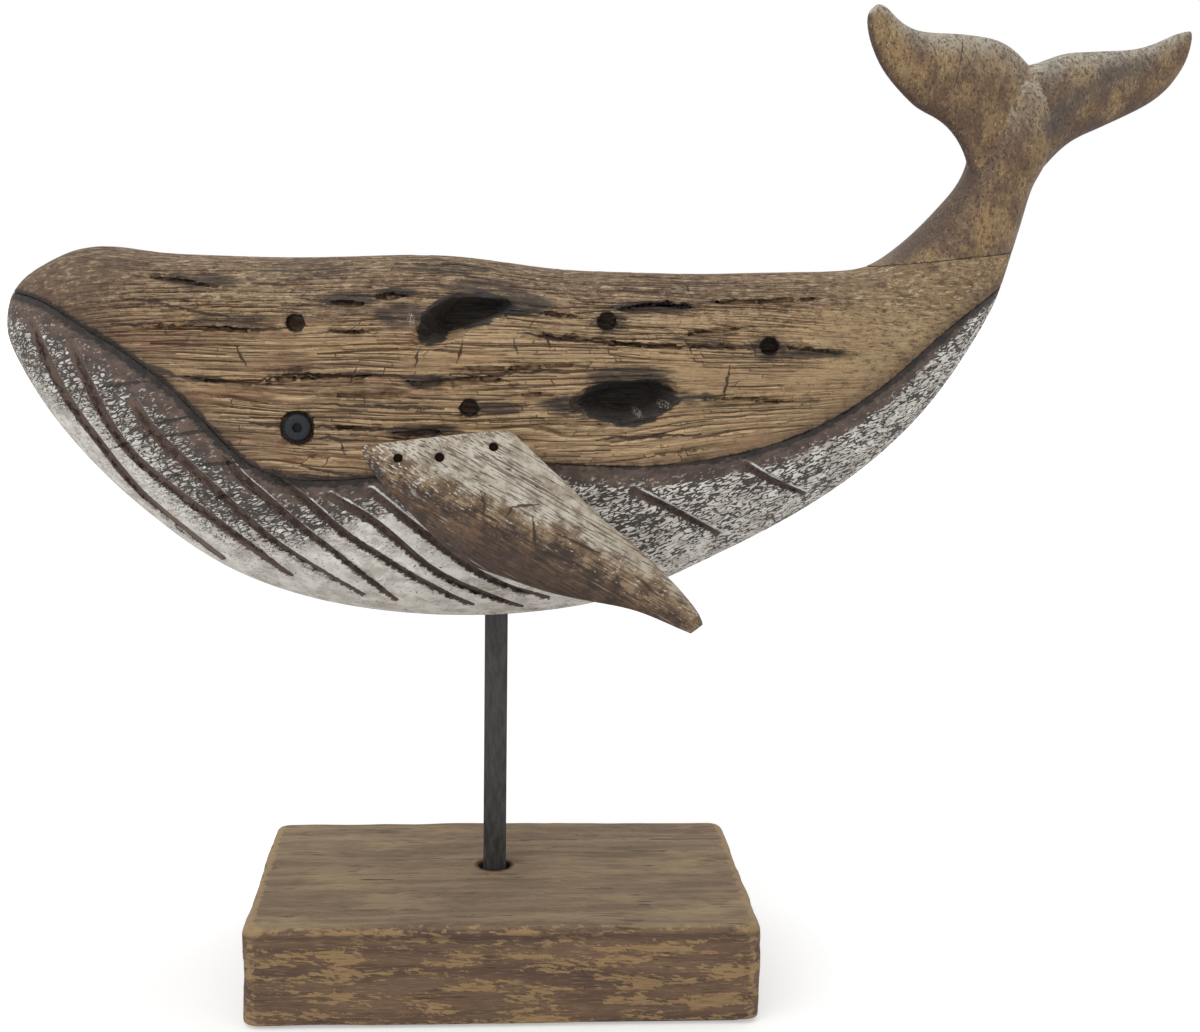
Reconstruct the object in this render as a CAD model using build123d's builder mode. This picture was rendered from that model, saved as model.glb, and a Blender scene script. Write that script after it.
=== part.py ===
from build123d import *
from math import cos, radians, sin, sqrt
import os

# A carved humpback whale in old timber, held over a wooden block by one square steel bar.
# Millimetres. The origin is the centre of the felt's underside, +X runs to the tail,
# -Y is the side that faces the viewer, and +Z is up.

os.makedirs("parts", exist_ok=True)

# Sizes of the block, its felt and the bar
base_length = 170
base_depth = 112
block_height = 33.5
base_corner_radius = 5
base_top_radius = 3
base_foot_radius = 1.2
felt_thickness = 1
felt_margin = 4
post_size = 8
post_edge_radius = 0.5
post_x = -2.7
post_y = 6
post_show = 91
post_in_belly = 40
post_fit = 0.12
post_end_gap = 0.3

# Sizes of the screw that pulls the bar into the block from below
screw_diameter = 5
screw_length = 20
screw_head_diameter = 9.5
screw_head_height = 2.75
screw_socket_size = 3
screw_socket_depth = 1.6
washer_diameter = 12
washer_thickness = 1
screw_pocket_depth = 6
screw_pocket_fit = 1
screw_fit = 0.3
screw_end_gap = 1
web_under_post = 10
thread_fit = 0.1

# Sizes of the whale's body and its carving
body_length = 340
body_depth = 126
body_width = 92.4
carving_depth = 1.7
seam_groove_height = 2.4
pleat_width = 2.6
split_width = 1.3
slot_width = 2.2

# Sizes of the tail
fluke_span = 130
tail_height = 84
stock_thickness = 24
fluke_thickness = 12
fluke_turn = 18

# Sizes of the fins
fin_length = 109
fin_drop = 64
fin_thickness = 13
fin_tilt = 15
fin_stand_off = 4.4
fin_seat_fit = 0.15

# Sizes of the nails in the fins
nail_diameter = 2.2
nail_head_diameter = 2.8
nail_head_height = 1.2
nail_length = 24
nail_point_length = 3
nail_sink = 1.2
nail_fit = 0.15

# Sizes of the eyes, which are button head screws in round seats
eye_seat_diameter = 10.4
eye_seat_depth = 2.2
eye_head_diameter = 9.2
eye_head_height = 2.6
eye_socket_size = 3
eye_socket_depth = 1.5
eye_shank_diameter = 5
eye_shank_length = 16
eye_fit = 0.1

# Sizes of the wooden dowels
body_dowel_diameter = 8
body_dowel_length = 36
tail_dowel_diameter = 6
tail_dowel_length = 22
dowel_fit = 0.1
dowel_end_gap = 0.5
dowel_chamfer = 0.8

# Sizes of the burnt hollows and the old nail holes in the timber
upper_hollow_length = 33
upper_hollow_height = 16
lower_hollow_length = 36
lower_hollow_height = 13
hollow_depth = 13
old_nail_diameter = 5.6
old_nail_depth = 6

# How far a cutting shape runs past what it cuts
overrun = 2

# Where the outline of the whale's body lies: shares of the body's length and depth
post_share = 0.485
joint_front_share = (0.853, 0.971)
joint_rear_share = (1.007, 1.018)

# Stations along the body: top and bottom of the side view as shares of the body's length
# and depth, then the half width as a share of the body's own
body_station_shares = [
    (0.002, 0.817, 0.002, 0.766, 0.07),
    (0.005, 0.848, 0.004, 0.739, 0.16),
    (0.011, 0.882, 0.011, 0.699, 0.27),
    (0.022, 0.917, 0.022, 0.644, 0.38),
    (0.040, 0.950, 0.039, 0.569, 0.49),
    (0.065, 0.983, 0.064, 0.480, 0.61),
    (0.099, 0.998, 0.097, 0.382, 0.71),
    (0.146, 0.985, 0.144, 0.269, 0.81),
    (0.205, 0.978, 0.203, 0.155, 0.90),
    (0.275, 0.976, 0.274, 0.071, 0.96),
    (0.358, 0.983, 0.356, 0.022, 1.00),
    (0.446, 0.985, 0.446, 0.004, 1.00),
    (0.534, 0.957, 0.536, 0.018, 0.97),
    (0.616, 0.949, 0.619, 0.067, 0.92),
    (0.687, 0.947, 0.694, 0.156, 0.84),
    (0.746, 0.952, 0.764, 0.252, 0.76),
    (0.793, 0.956, 0.826, 0.354, 0.67),
    (0.828, 0.960, 0.881, 0.472, 0.60),
    (0.852, 0.969, 0.926, 0.601, 0.52),
    (0.870, 0.990, 0.961, 0.738, 0.45),
    (0.888, 1.025, 0.988, 0.875, 0.39),
]

# Stations up the tail stock from the joint's centre: the front edge and the rear edge as
# shares of the fluke span and the tail's height, then the share of the stock's thickness
stock_station_shares = [
    (-0.055, 0.125, 0.193, 0.017, 1.30),
    (0.004, 0.223, 0.223, 0.188, 1.14),
    (0.051, 0.321, 0.248, 0.313, 1.00),
    (0.069, 0.401, 0.275, 0.391, 0.88),
    (0.073, 0.478, 0.290, 0.478, 0.76),
    (0.081, 0.562, 0.290, 0.562, 0.64),
    (0.115, 0.644, 0.275, 0.644, 0.50),
    (0.155, 0.715, 0.243, 0.715, 0.34),
]

# Stations out along each fluke, from the root to the tip, measured from the flukes' own
# upright axis: trailing edge and leading edge, then the share of the flukes' thickness
fluke_axis_share = 0.181
left_fluke_shares = [
    (0.052, 0.772, -0.030, 0.300, 0.80),
    (0.010, 0.833, -0.116, 0.335, 1.00),
    (-0.035, 0.871, -0.132, 0.411, 1.00),
    (-0.093, 0.890, -0.174, 0.504, 1.00),
    (-0.166, 0.896, -0.230, 0.563, 0.95),
    (-0.232, 0.895, -0.285, 0.600, 0.86),
    (-0.292, 0.900, -0.335, 0.658, 0.76),
    (-0.339, 0.925, -0.380, 0.725, 0.66),
    (-0.372, 0.962, -0.415, 0.804, 0.54),
    (-0.396, 0.987, -0.438, 0.905, 0.42),
    (-0.412, 0.992, -0.437, 0.955, 0.22),
]
right_fluke_shares = [
    (0.020, 0.740, 0.000, 0.310, 0.80),
    (0.064, 0.797, 0.070, 0.335, 1.00),
    (0.098, 0.814, 0.120, 0.405, 1.00),
    (0.157, 0.843, 0.184, 0.486, 1.00),
    (0.232, 0.857, 0.265, 0.543, 0.92),
    (0.309, 0.867, 0.341, 0.592, 0.82),
    (0.383, 0.880, 0.417, 0.645, 0.70),
    (0.457, 0.914, 0.486, 0.715, 0.56),
    (0.515, 0.951, 0.532, 0.796, 0.40),
    (0.561, 0.968, 0.563, 0.927, 0.20),
]

# Stations down the fin, from the root to the tip: lower edge and upper edge as shares of
# the fin's length and drop, then the share of the fin's thickness
fin_root_share = (0.357, 0.496)
fin_station_shares = [
    (-0.002, 0.033, 0.392, 0.112, 0.42),
    (0.006, -0.017, 0.439, 0.103, 0.70),
    (0.021, -0.066, 0.462, 0.073, 0.84),
    (0.053, -0.141, 0.492, 0.023, 0.95),
    (0.120, -0.262, 0.544, -0.062, 1.00),
    (0.205, -0.406, 0.615, -0.174, 1.00),
    (0.307, -0.544, 0.682, -0.292, 0.98),
    (0.417, -0.618, 0.752, -0.391, 0.95),
    (0.536, -0.686, 0.821, -0.492, 0.90),
    (0.678, -0.738, 0.875, -0.582, 0.84),
    (0.790, -0.777, 0.922, -0.663, 0.76),
    (0.874, -0.831, 0.962, -0.744, 0.62),
    (0.933, -0.875, 0.987, -0.808, 0.46),
    (0.959, -0.894, 0.995, -0.848, 0.28),
]
fin_nail_shares = {"front": (0.107, -0.034), "middle": (0.227, -0.032), "rear": (0.383, 0.025)}

# Where the eye, the old nail holes, the hollows and the dowels lie on the body
eye_share = (0.296, 0.553)
old_nail_shares = [(0.293, 0.814), (0.588, 0.827), (0.457, 0.606), (0.746, 0.766)]
upper_hollow_share = (0.457, 0.833)
lower_hollow_share = (0.608, 0.629)
body_dowel_shares = {"front": (0.287, 0.42), "middle": (0.611, 0.459), "rear": (0.787, 0.546)}
tail_dowel_shares = {"front": -0.01, "rear": 0.24}

# The seam between the back and the belly, from ahead of the nose to behind the tail stock
seam_shares = [
    (-0.030, 0.876),
    (0.011, 0.874),
    (0.035, 0.866),
    (0.058, 0.845),
    (0.084, 0.806),
    (0.134, 0.729),
    (0.181, 0.634),
    (0.228, 0.508),
    (0.251, 0.456),
    (0.274, 0.428),
    (0.310, 0.418),
    (0.372, 0.430),
    (0.449, 0.455),
    (0.543, 0.465),
    (0.621, 0.458),
    (0.699, 0.479),
    (0.779, 0.537),
    (0.859, 0.656),
    (0.932, 0.817),
    (0.975, 0.898),
    (1.030, 0.985),
]

# The throat pleats and the short grooves behind the fin, each from its upper end
pleat_routes_shares = [
    [(0.038, 0.800), (0.050, 0.731), (0.073, 0.610), (0.102, 0.498), (0.138, 0.368), (0.215, 0.186)],
    [(0.080, 0.749), (0.098, 0.641), (0.118, 0.537), (0.142, 0.455), (0.202, 0.325), (0.284, 0.148)],
    [(0.141, 0.606), (0.160, 0.531), (0.191, 0.451), (0.225, 0.366), (0.265, 0.262), (0.354, 0.095)],
    [(0.223, 0.486), (0.242, 0.425), (0.269, 0.361), (0.299, 0.287), (0.328, 0.223), (0.386, 0.080)],
    [(0.272, 0.426), (0.305, 0.360), (0.337, 0.281), (0.372, 0.214), (0.415, 0.135), (0.461, 0.065)],
    [(0.326, 0.380), (0.373, 0.298), (0.424, 0.173), (0.468, 0.106), (0.510, 0.056)],
    [(0.364, 0.394), (0.429, 0.248), (0.478, 0.149), (0.536, 0.086)],
    [(0.613, 0.397), (0.657, 0.335), (0.704, 0.264)],
    [(0.723, 0.460), (0.755, 0.410), (0.790, 0.369)],
]

# The long splits and the wider slots in the timber, along the grain: on the near flank, on
# the far flank, and on the top, where the second share is one of the body's half width
near_split_shares = [
    [(0.130, 0.800), (0.176, 0.798), (0.218, 0.799), (0.251, 0.793), (0.275, 0.796)],
    [(0.134, 0.924), (0.167, 0.918), (0.199, 0.907), (0.243, 0.894)],
    [(0.313, 0.805), (0.340, 0.796), (0.369, 0.793)],
    [(0.181, 0.683), (0.229, 0.665), (0.263, 0.669), (0.308, 0.681), (0.345, 0.683), (0.379, 0.687)],
    [(0.306, 0.641), (0.345, 0.635), (0.387, 0.633), (0.422, 0.631)],
    [(0.319, 0.556), (0.345, 0.554), (0.384, 0.550)],
    [(0.520, 0.842), (0.544, 0.842), (0.571, 0.830)],
    [(0.687, 0.882), (0.705, 0.879), (0.744, 0.883), (0.779, 0.886), (0.812, 0.896)],
    [(0.510, 0.791), (0.549, 0.783), (0.587, 0.776), (0.633, 0.764), (0.675, 0.768), (0.730, 0.751)],
    [(0.759, 0.763), (0.798, 0.755), (0.830, 0.741)],
    [(0.431, 0.709), (0.467, 0.707), (0.504, 0.709), (0.540, 0.715), (0.578, 0.714)],
    [(0.491, 0.639), (0.520, 0.642), (0.546, 0.638)],
    [(0.677, 0.628), (0.708, 0.631), (0.741, 0.627), (0.789, 0.621)],
    [(0.519, 0.568), (0.552, 0.566), (0.583, 0.566)],
    [(0.650, 0.804), (0.676, 0.798), (0.707, 0.808), (0.731, 0.811)],
]
near_slot_shares = [
    [(0.323, 0.870), (0.339, 0.864), (0.359, 0.864)],
    [(0.366, 0.879), (0.379, 0.882), (0.396, 0.887)],
    [(0.397, 0.673), (0.415, 0.666), (0.434, 0.670), (0.457, 0.677), (0.498, 0.671)],
    [(0.386, 0.539), (0.409, 0.541), (0.433, 0.546)],
    [(0.594, 0.858), (0.620, 0.862), (0.648, 0.866), (0.681, 0.863)],
]
far_split_shares = [
    [(0.120, 0.830), (0.190, 0.818), (0.270, 0.825)],
    [(0.240, 0.720), (0.330, 0.705), (0.420, 0.715), (0.500, 0.700)],
    [(0.330, 0.860), (0.410, 0.850), (0.500, 0.865)],
    [(0.460, 0.785), (0.550, 0.792), (0.640, 0.775), (0.700, 0.780)],
    [(0.300, 0.625), (0.400, 0.612), (0.470, 0.620)],
    [(0.560, 0.670), (0.650, 0.655), (0.740, 0.665)],
    [(0.580, 0.870), (0.670, 0.858), (0.760, 0.870)],
    [(0.520, 0.560), (0.600, 0.550), (0.680, 0.562)],
    [(0.710, 0.740), (0.770, 0.730), (0.825, 0.738)],
]
top_split_shares = [
    [(0.335, -0.36), (0.390, -0.38), (0.430, -0.38), (0.475, -0.36)],
    [(0.130, 0.02), (0.190, 0.05), (0.260, 0.03), (0.310, 0.06)],
    [(0.430, 0.10), (0.500, 0.06), (0.580, 0.09), (0.640, 0.05)],
    [(0.560, -0.22), (0.630, -0.25), (0.710, -0.22)],
    [(0.690, 0.11), (0.750, 0.08), (0.810, 0.10)],
    [(0.300, 0.34), (0.380, 0.37), (0.470, 0.33)],
    [(0.530, 0.38), (0.600, 0.35), (0.670, 0.37)],
]

# The outline of a burnt hollow, as shares of its length and height from its middle
upper_hollow_outline_shares = [
    (-0.50, -0.38),
    (-0.42, 0.08),
    (-0.20, 0.42),
    (0.15, 0.50),
    (0.50, 0.34),
    (0.30, 0.05),
    (0.00, -0.20),
    (-0.26, -0.50),
]
lower_hollow_outline_shares = [
    (-0.50, -0.02),
    (-0.34, 0.34),
    (0.10, 0.50),
    (0.48, 0.36),
    (0.44, -0.06),
    (0.20, -0.38),
    (-0.12, -0.50),
    (-0.38, -0.34),
]
hollow_floor_share = 0.5
hollow_lead_share = 0.5

hollows = [
    (upper_hollow_share, upper_hollow_outline_shares, upper_hollow_length, upper_hollow_height),
    (lower_hollow_share, lower_hollow_outline_shares, lower_hollow_length, lower_hollow_height),
]

# The profile of a button head, from its rim over the shoulder to the flat crown, and how
# blunt a nail's point is
button_rim_share = 0.28
button_shoulder_share = (0.86, 0.78)
button_crown_share = 0.55
nail_tip_share = 0.15

# How far the handles of a section's curves reach towards its corners: the round share makes
# an ellipse, and a larger one makes a timber with rounded corners
back_handle_share = 0.69
belly_handle_share = 0.585
round_handle_share = 0.552

# Heights that follow from the sizes
base_top = felt_thickness + block_height
body_bottom = base_top + post_show
post_foot = felt_thickness + screw_pocket_depth + web_under_post
post_top = body_bottom + post_in_belly
post_hole_radius = post_size / sqrt(2) + post_fit
nose_x = post_x - post_share * body_length
reach = body_width / 2 + overrun

# The whale is drawn on an upright sheet along its middle, which faces the viewer
whale_plane = Plane.XZ.offset(-post_y)


def body_point(length_share, depth_share):
    """A place on the whale's side view, from shares of the body's length and depth."""
    return (nose_x + length_share * body_length, body_bottom + depth_share * body_depth)


def side_route(shares):
    """A route on the whale's side view."""
    return [body_point(*share) for share in shares]


def top_route(shares):
    """A route on the view from above, from shares of the body's length and half width."""
    return [(nose_x + l * body_length, post_y + w * body_width / 2) for l, w in shares]


# The joint between the tail and the back is one flat cut through the rear of the body
joint_front = body_point(*joint_front_share)
joint_rear = body_point(*joint_rear_share)
joint_x = (joint_front[0] + joint_rear[0]) / 2
joint_z = (joint_front[1] + joint_rear[1]) / 2
joint_run = Vector(joint_rear[0] - joint_front[0], 0, joint_rear[1] - joint_front[1])
joint_up = joint_run.cross(Vector(0, 1, 0)).normalized()

# The flukes are turned a little about their upright axis, the left one towards the viewer
turn = radians(fluke_turn)
fluke_x = joint_x + fluke_axis_share * fluke_span
fluke_plane = Plane(
    origin=(fluke_x, post_y, joint_z),
    x_dir=(cos(turn), sin(turn), 0),
    z_dir=(sin(turn), -cos(turn), 0),
)


def half_section(sheet, low, high, half_thickness, high_handle, low_handle):
    """The near half of a smooth section, standing on a sheet between two outline points."""
    start = sheet.from_local_coords(Vector(low[0], low[1], 0))
    end = sheet.from_local_coords(Vector(high[0], high[1], 0))
    rise = end - start
    half = rise.length / 2
    middle = Plane(origin=(start + end) / 2, x_dir=sheet.z_dir, z_dir=sheet.z_dir.cross(rise))
    flank = (half_thickness, 0)
    with BuildSketch(middle) as face:
        with BuildLine():
            crown_handle = (half_thickness * high_handle, half)
            flank_handle = (half_thickness, half * high_handle)
            Bezier((0, half), crown_handle, flank_handle, flank)
            flank_handle = (half_thickness, -half * low_handle)
            keel_handle = (half_thickness * low_handle, -half)
            Bezier(flank, flank_handle, keel_handle, (0, -half))
            Line((0, -half), (0, half))
        make_face()
    return face.sketch


def whale_section(low, high, half_width, high_handle, low_handle, inset):
    """A half section on the whale's own sheet, drawn in all round by an inset."""
    depth = sqrt((high[0] - low[0]) ** 2 + (high[1] - low[1]) ** 2)
    step_x = inset * (high[0] - low[0]) / depth
    step_z = inset * (high[1] - low[1]) / depth
    low_in = (low[0] + step_x, low[1] + step_z)
    high_in = (high[0] - step_x, high[1] - step_z)
    return half_section(whale_plane, low_in, high_in, half_width - inset, high_handle, low_handle)


def body_sections(stations, inset):
    """The sections of some of the body's stations, drawn in by an inset."""
    sections = []
    for top_x, top_z, bottom_x, bottom_z, width_share in stations:
        low = body_point(bottom_x, bottom_z)
        high = body_point(top_x, top_z)
        half_width = width_share * body_width / 2
        sections.append(
            whale_section(low, high, half_width, back_handle_share, belly_handle_share, inset)
        )
    return sections


def stock_sections(stations, inset):
    """The sections of some of the tail stock's stations, drawn in by an inset."""
    sections = []
    for front_x, front_z, rear_x, rear_z, thickness_share in stations:
        low = (joint_x + rear_x * fluke_span, joint_z + rear_z * tail_height)
        high = (joint_x + front_x * fluke_span, joint_z + front_z * tail_height)
        half_width = thickness_share * stock_thickness / 2
        sections.append(
            whale_section(low, high, half_width, round_handle_share, round_handle_share, inset)
        )
    return sections


def fluke_sections(stations):
    """The sections of one fluke, from its root inside the stock to its tip."""
    sections = []
    for high_x, high_z, low_x, low_z, thickness_share in stations:
        low = (low_x * fluke_span, low_z * tail_height)
        high = (high_x * fluke_span, high_z * tail_height)
        half = thickness_share * fluke_thickness / 2
        sections.append(
            half_section(fluke_plane, low, high, half, round_handle_share, round_handle_share)
        )
    return sections


def fin_sections(stations):
    """The near half sections of a fin, from its root to its tip."""
    sections = []
    for low_x, low_y, high_x, high_y, thickness_share in stations:
        low = (low_x * fin_length, low_y * fin_drop)
        high = (high_x * fin_length, high_y * fin_drop)
        half = thickness_share * fin_thickness / 2
        sections.append(half_section(fin_plane, low, high, half, round_handle_share, round_handle_share))
    return sections


def hollow_face(plane, outline, length, height):
    """The outline of a burnt hollow on a plane, at a length and a height."""
    with BuildSketch(plane) as face:
        with BuildLine():
            Spline(*[(x * length, y * height) for x, y in outline], periodic=True)
        make_face()
    return face.sketch


def shifted(route, distance):
    """The inner points of a route, each moved square to the route by a distance."""
    moved = []
    for before, here, after in zip(route, route[1:], route[2:]):
        run_x = after[0] - before[0]
        run_z = after[1] - before[1]
        run = sqrt(run_x**2 + run_z**2)
        moved.append((here[0] - run_z / run * distance, here[1] + run_x / run * distance))
    return moved


def strips(sheet, routes, width, amount):
    """Strips with pointed ends that stand on a sheet, added to the piece being made."""
    for route in routes:
        with BuildSketch(sheet) as strip:
            with BuildLine():
                Spline(route[0], *shifted(route, width / 2), route[-1])
                Spline(route[0], *shifted(route, -width / 2), route[-1])
            make_face()
        extrude(strip.sketch, amount=amount)


def skin_point(piece, sheet, x, y):
    """The outermost point of a piece over a place on a sheet."""
    line = Axis(sheet.from_local_coords(Vector(x, y, 0)), sheet.z_dir)
    hits = [hit[0] for face in piece.faces() for hit in face.find_intersection_points(line)]
    return max(hits, key=lambda hit: sheet.to_local_coords(hit).Z)


def rod(plane, radius, length):
    """A round rod that is added to the piece being made, from a plane upwards."""
    with BuildSketch(plane) as end:
        Circle(radius)
    extrude(end.sketch, amount=length)


def button_screw(seat, head_diameter, head_height, socket_size, socket_depth, shank, length):
    """A button head screw: the head stands on a plane and the shank goes down from it."""
    radius = head_diameter / 2
    rim = (radius, head_height * button_rim_share)
    shoulder = (radius * button_shoulder_share[0], head_height * button_shoulder_share[1])
    crown = (radius * button_crown_share, head_height)
    profile_plane = Plane(origin=seat.origin, x_dir=seat.x_dir, z_dir=-seat.y_dir)
    with BuildPart() as screw:
        with BuildSketch(profile_plane):
            with BuildLine():
                Polyline((0, head_height), (0, 0), (radius, 0), rim)
                ThreePointArc(rim, shoulder, crown)
                Line(crown, (0, head_height))
            make_face()
        revolve(axis=Axis(seat.origin, seat.z_dir))
        with BuildSketch(seat.offset(head_height)):
            RegularPolygon(socket_size / 2, 6, major_radius=False)
        extrude(amount=-socket_depth, mode=Mode.SUBTRACT)
        with BuildSketch(seat):
            Circle(shank / 2)
        extrude(amount=-length)
    return screw


def dowel(middle, diameter, length):
    """A wooden dowel with chamfered ends, half on each side of a plane."""
    with BuildPart() as pin:
        with BuildSketch(middle):
            Circle(diameter / 2)
        extrude(amount=length / 2, both=True)
        chamfer(pin.edges().filter_by(GeomType.CIRCLE), dowel_chamfer)
    return pin


def save(piece, name):
    """Labels a finished piece and writes it."""
    piece.label = name
    export_step(piece, f"parts/{name}.step")


# The block, with a round socket for the bar and a pocket below for the screw
with BuildPart() as base_block:
    with BuildSketch(Plane.XY.offset(felt_thickness)):
        RectangleRounded(base_length, base_depth, base_corner_radius)
    extrude(amount=block_height)
    fillet(base_block.faces().sort_by(Axis.Z)[-1].edges(), base_top_radius)
    fillet(base_block.faces().sort_by(Axis.Z)[0].edges(), base_foot_radius)
    with Locations((post_x, post_y, base_top)):
        Hole(post_hole_radius, base_top - post_foot)
    with Locations(Location((post_x, post_y, felt_thickness), (180, 0, 0))):
        CounterBoreHole(
            screw_diameter / 2 + screw_fit, washer_diameter / 2 + screw_pocket_fit, screw_pocket_depth
        )
save(base_block.part, "base_block")

with BuildPart() as base_felt:
    with BuildSketch():
        RectangleRounded(
            base_length - 2 * felt_margin, base_depth - 2 * felt_margin, base_corner_radius
        )
    extrude(amount=felt_thickness)
save(base_felt.part, "base_felt")

# The square bar stands on the web of the block and ends inside the belly
screw_grip = screw_length - washer_thickness - web_under_post
with BuildPart() as support_post:
    with BuildSketch(Plane((post_x, post_y, post_foot))):
        Rectangle(post_size, post_size)
    extrude(amount=post_top - post_foot)
    fillet(support_post.edges().filter_by(Axis.Z), post_edge_radius)
    with Locations(Location((post_x, post_y, post_foot), (180, 0, 0))):
        Hole(screw_diameter / 2 + thread_fit, screw_grip + screw_end_gap)
save(support_post.part, "support_post")

web_bottom = post_foot - web_under_post
with BuildPart() as base_washer:
    with BuildSketch(Plane((post_x, post_y, web_bottom - washer_thickness))):
        Circle(washer_diameter / 2)
        Circle(screw_diameter / 2 + screw_fit, mode=Mode.SUBTRACT)
    extrude(amount=washer_thickness)
save(base_washer.part, "base_washer")

base_screw = button_screw(
    Plane(origin=(post_x, post_y, web_bottom - washer_thickness), z_dir=(0, 0, -1)),
    screw_head_diameter,
    screw_head_height,
    screw_socket_size,
    screw_socket_depth,
    screw_diameter,
    screw_length,
)
save(base_screw.part, "base_screw")

# The whale as it is roughed out, from the nose to the top of the tail stock
with BuildPart() as whale_form:
    loft(body_sections(body_station_shares, 0) + stock_sections(stock_station_shares, 0))
    mirror(about=whale_plane)

# The same form a carving's depth further in, where every carved groove ends
with BuildPart() as carving_floor:
    loft(
        body_sections(body_station_shares[1:], carving_depth)
        + stock_sections(stock_station_shares[:3], carving_depth)
    )
    mirror(about=whale_plane)

# What belongs to the tail: everything above the joint's flat cut
far_z = joint_z + tail_height + overrun
far_x = joint_rear[0] + fluke_span
with BuildPart() as tail_space:
    with BuildSketch(whale_plane):
        with BuildLine():
            cut = Line(joint_front, joint_rear)
            cut_end = cut @ 1 + cut % 1 * overrun
            Polyline(cut @ 0, (joint_front[0], far_z), (far_x, far_z), (far_x, cut_end.Y))
            Line((far_x, cut_end.Y), cut_end)
            Line(cut_end, cut @ 1)
        make_face()
    extrude(amount=reach, both=True)

# Everything below the seam, and the groove that runs along the seam's lower side
seam_route = [body_point(*share) for share in seam_shares]
under_z = body_bottom - overrun
with BuildPart() as belly_space:
    with BuildSketch(whale_plane):
        with BuildLine():
            seam = Spline(*seam_route)
            Polyline(seam @ 1, ((seam @ 1).X, under_z), ((seam @ 0).X, under_z), seam @ 0)
        make_face()
    extrude(amount=reach, both=True)

groove_route = shifted(seam_route, -seam_groove_height)
with BuildPart() as seam_groove:
    with BuildSketch(whale_plane):
        with BuildLine():
            Spline(*seam_route[1:-1])
            Line(seam_route[-2], groove_route[-1])
            Spline(*reversed(groove_route))
            Line(groove_route[0], seam_route[1])
        make_face()
    extrude(amount=reach, both=True)
    add(carving_floor.part, mode=Mode.SUBTRACT)

# The throat pleats, each a strip with pointed ends that is cut in from both sides at once
pleat_routes = [side_route(shares) for shares in pleat_routes_shares]
with BuildPart() as pleats:
    strips(whale_plane, pleat_routes, pleat_width, reach)
    strips(whale_plane, pleat_routes, pleat_width, -reach)
    add(carving_floor.part, mode=Mode.SUBTRACT)

# The splits in the timber are cut in from the near side, the far side and above
near_splits = [side_route(shares) for shares in near_split_shares]
near_slots = [side_route(shares) for shares in near_slot_shares]
far_splits = [side_route(shares) for shares in far_split_shares]
top_splits = [top_route(shares) for shares in top_split_shares]
top_sheet = Plane((0, 0, body_bottom + body_depth / 2))
with BuildPart() as timber_splits:
    strips(whale_plane, near_splits, split_width, reach)
    strips(whale_plane, near_slots, slot_width, reach)
    strips(whale_plane, far_splits, split_width, -reach)
    strips(top_sheet, top_splits, split_width, body_depth)
    add(carving_floor.part, mode=Mode.SUBTRACT)

# The fin that faces the viewer hangs on a sheet that tilts outwards, and its root is hollowed
# to lie on the flank
fin_root = skin_point(whale_form.part, whale_plane, *body_point(*fin_root_share))
tilt = radians(fin_tilt)
fin_plane = Plane(
    origin=fin_root + whale_plane.z_dir * fin_stand_off,
    x_dir=(1, 0, 0),
    z_dir=(0, -cos(tilt), sin(tilt)),
)
with BuildPart() as fin_blank:
    loft(fin_sections(fin_station_shares))
    mirror(about=fin_plane)

# Each nail is driven square to the fin, through its root into the body
nail_planes = {}
for place, (length_share, drop_share) in fin_nail_shares.items():
    x = length_share * fin_length
    y = drop_share * fin_drop
    mouth = skin_point(fin_blank.part, fin_plane, x, y)
    nail_planes[place] = Plane(
        origin=mouth - fin_plane.z_dir * nail_sink, x_dir=(1, 0, 0), z_dir=-fin_plane.z_dir
    )

head_hole_depth = fin_thickness + nail_head_height
with BuildPart() as nail_holes:
    for plane in nail_planes.values():
        rod(plane, nail_diameter / 2 + nail_fit, nail_length + nail_fit)
        rod(plane.offset(-fin_thickness), nail_head_diameter / 2 + nail_fit, head_hole_depth)

with BuildPart() as flank_space:
    loft(body_sections(body_station_shares, -fin_seat_fit))
    mirror(about=whale_plane)

with BuildPart() as left_fin:
    add(fin_blank.part)
    add(flank_space.part, mode=Mode.SUBTRACT)
    add(nail_holes.part, mode=Mode.SUBTRACT)
save(left_fin.part, "left_fin")

with BuildPart() as right_fin:
    mirror(left_fin.part, about=whale_plane)
save(right_fin.part, "right_fin")

for place, plane in nail_planes.items():
    with BuildPart() as nail:
        rod(plane, nail_head_diameter / 2, nail_head_height)
        rod(plane, nail_diameter / 2, nail_length - nail_point_length)
        with Locations(plane.offset(nail_length - nail_point_length)):
            Cone(
                nail_diameter / 2,
                nail_diameter / 2 * nail_tip_share,
                nail_point_length,
                align=(Align.CENTER, Align.CENTER, Align.MIN),
            )
    save(nail.part, f"left_fin_nail_{place}")
    with BuildPart() as far_nail:
        mirror(nail.part, about=whale_plane)
    save(far_nail.part, f"right_fin_nail_{place}")

# Each eye is a screw in a round seat, sunk into the flank
eye_skin = skin_point(whale_form.part, whale_plane, *body_point(*eye_share))
eye_seat = Plane(
    origin=eye_skin - whale_plane.z_dir * eye_seat_depth, x_dir=(1, 0, 0), z_dir=whale_plane.z_dir
)
left_eye_bolt = button_screw(
    eye_seat,
    eye_head_diameter,
    eye_head_height,
    eye_socket_size,
    eye_socket_depth,
    eye_shank_diameter,
    eye_shank_length,
)
save(left_eye_bolt.part, "left_eye_bolt")

with BuildPart() as right_eye_bolt:
    mirror(left_eye_bolt.part, about=whale_plane)
save(right_eye_bolt.part, "right_eye_bolt")

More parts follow.
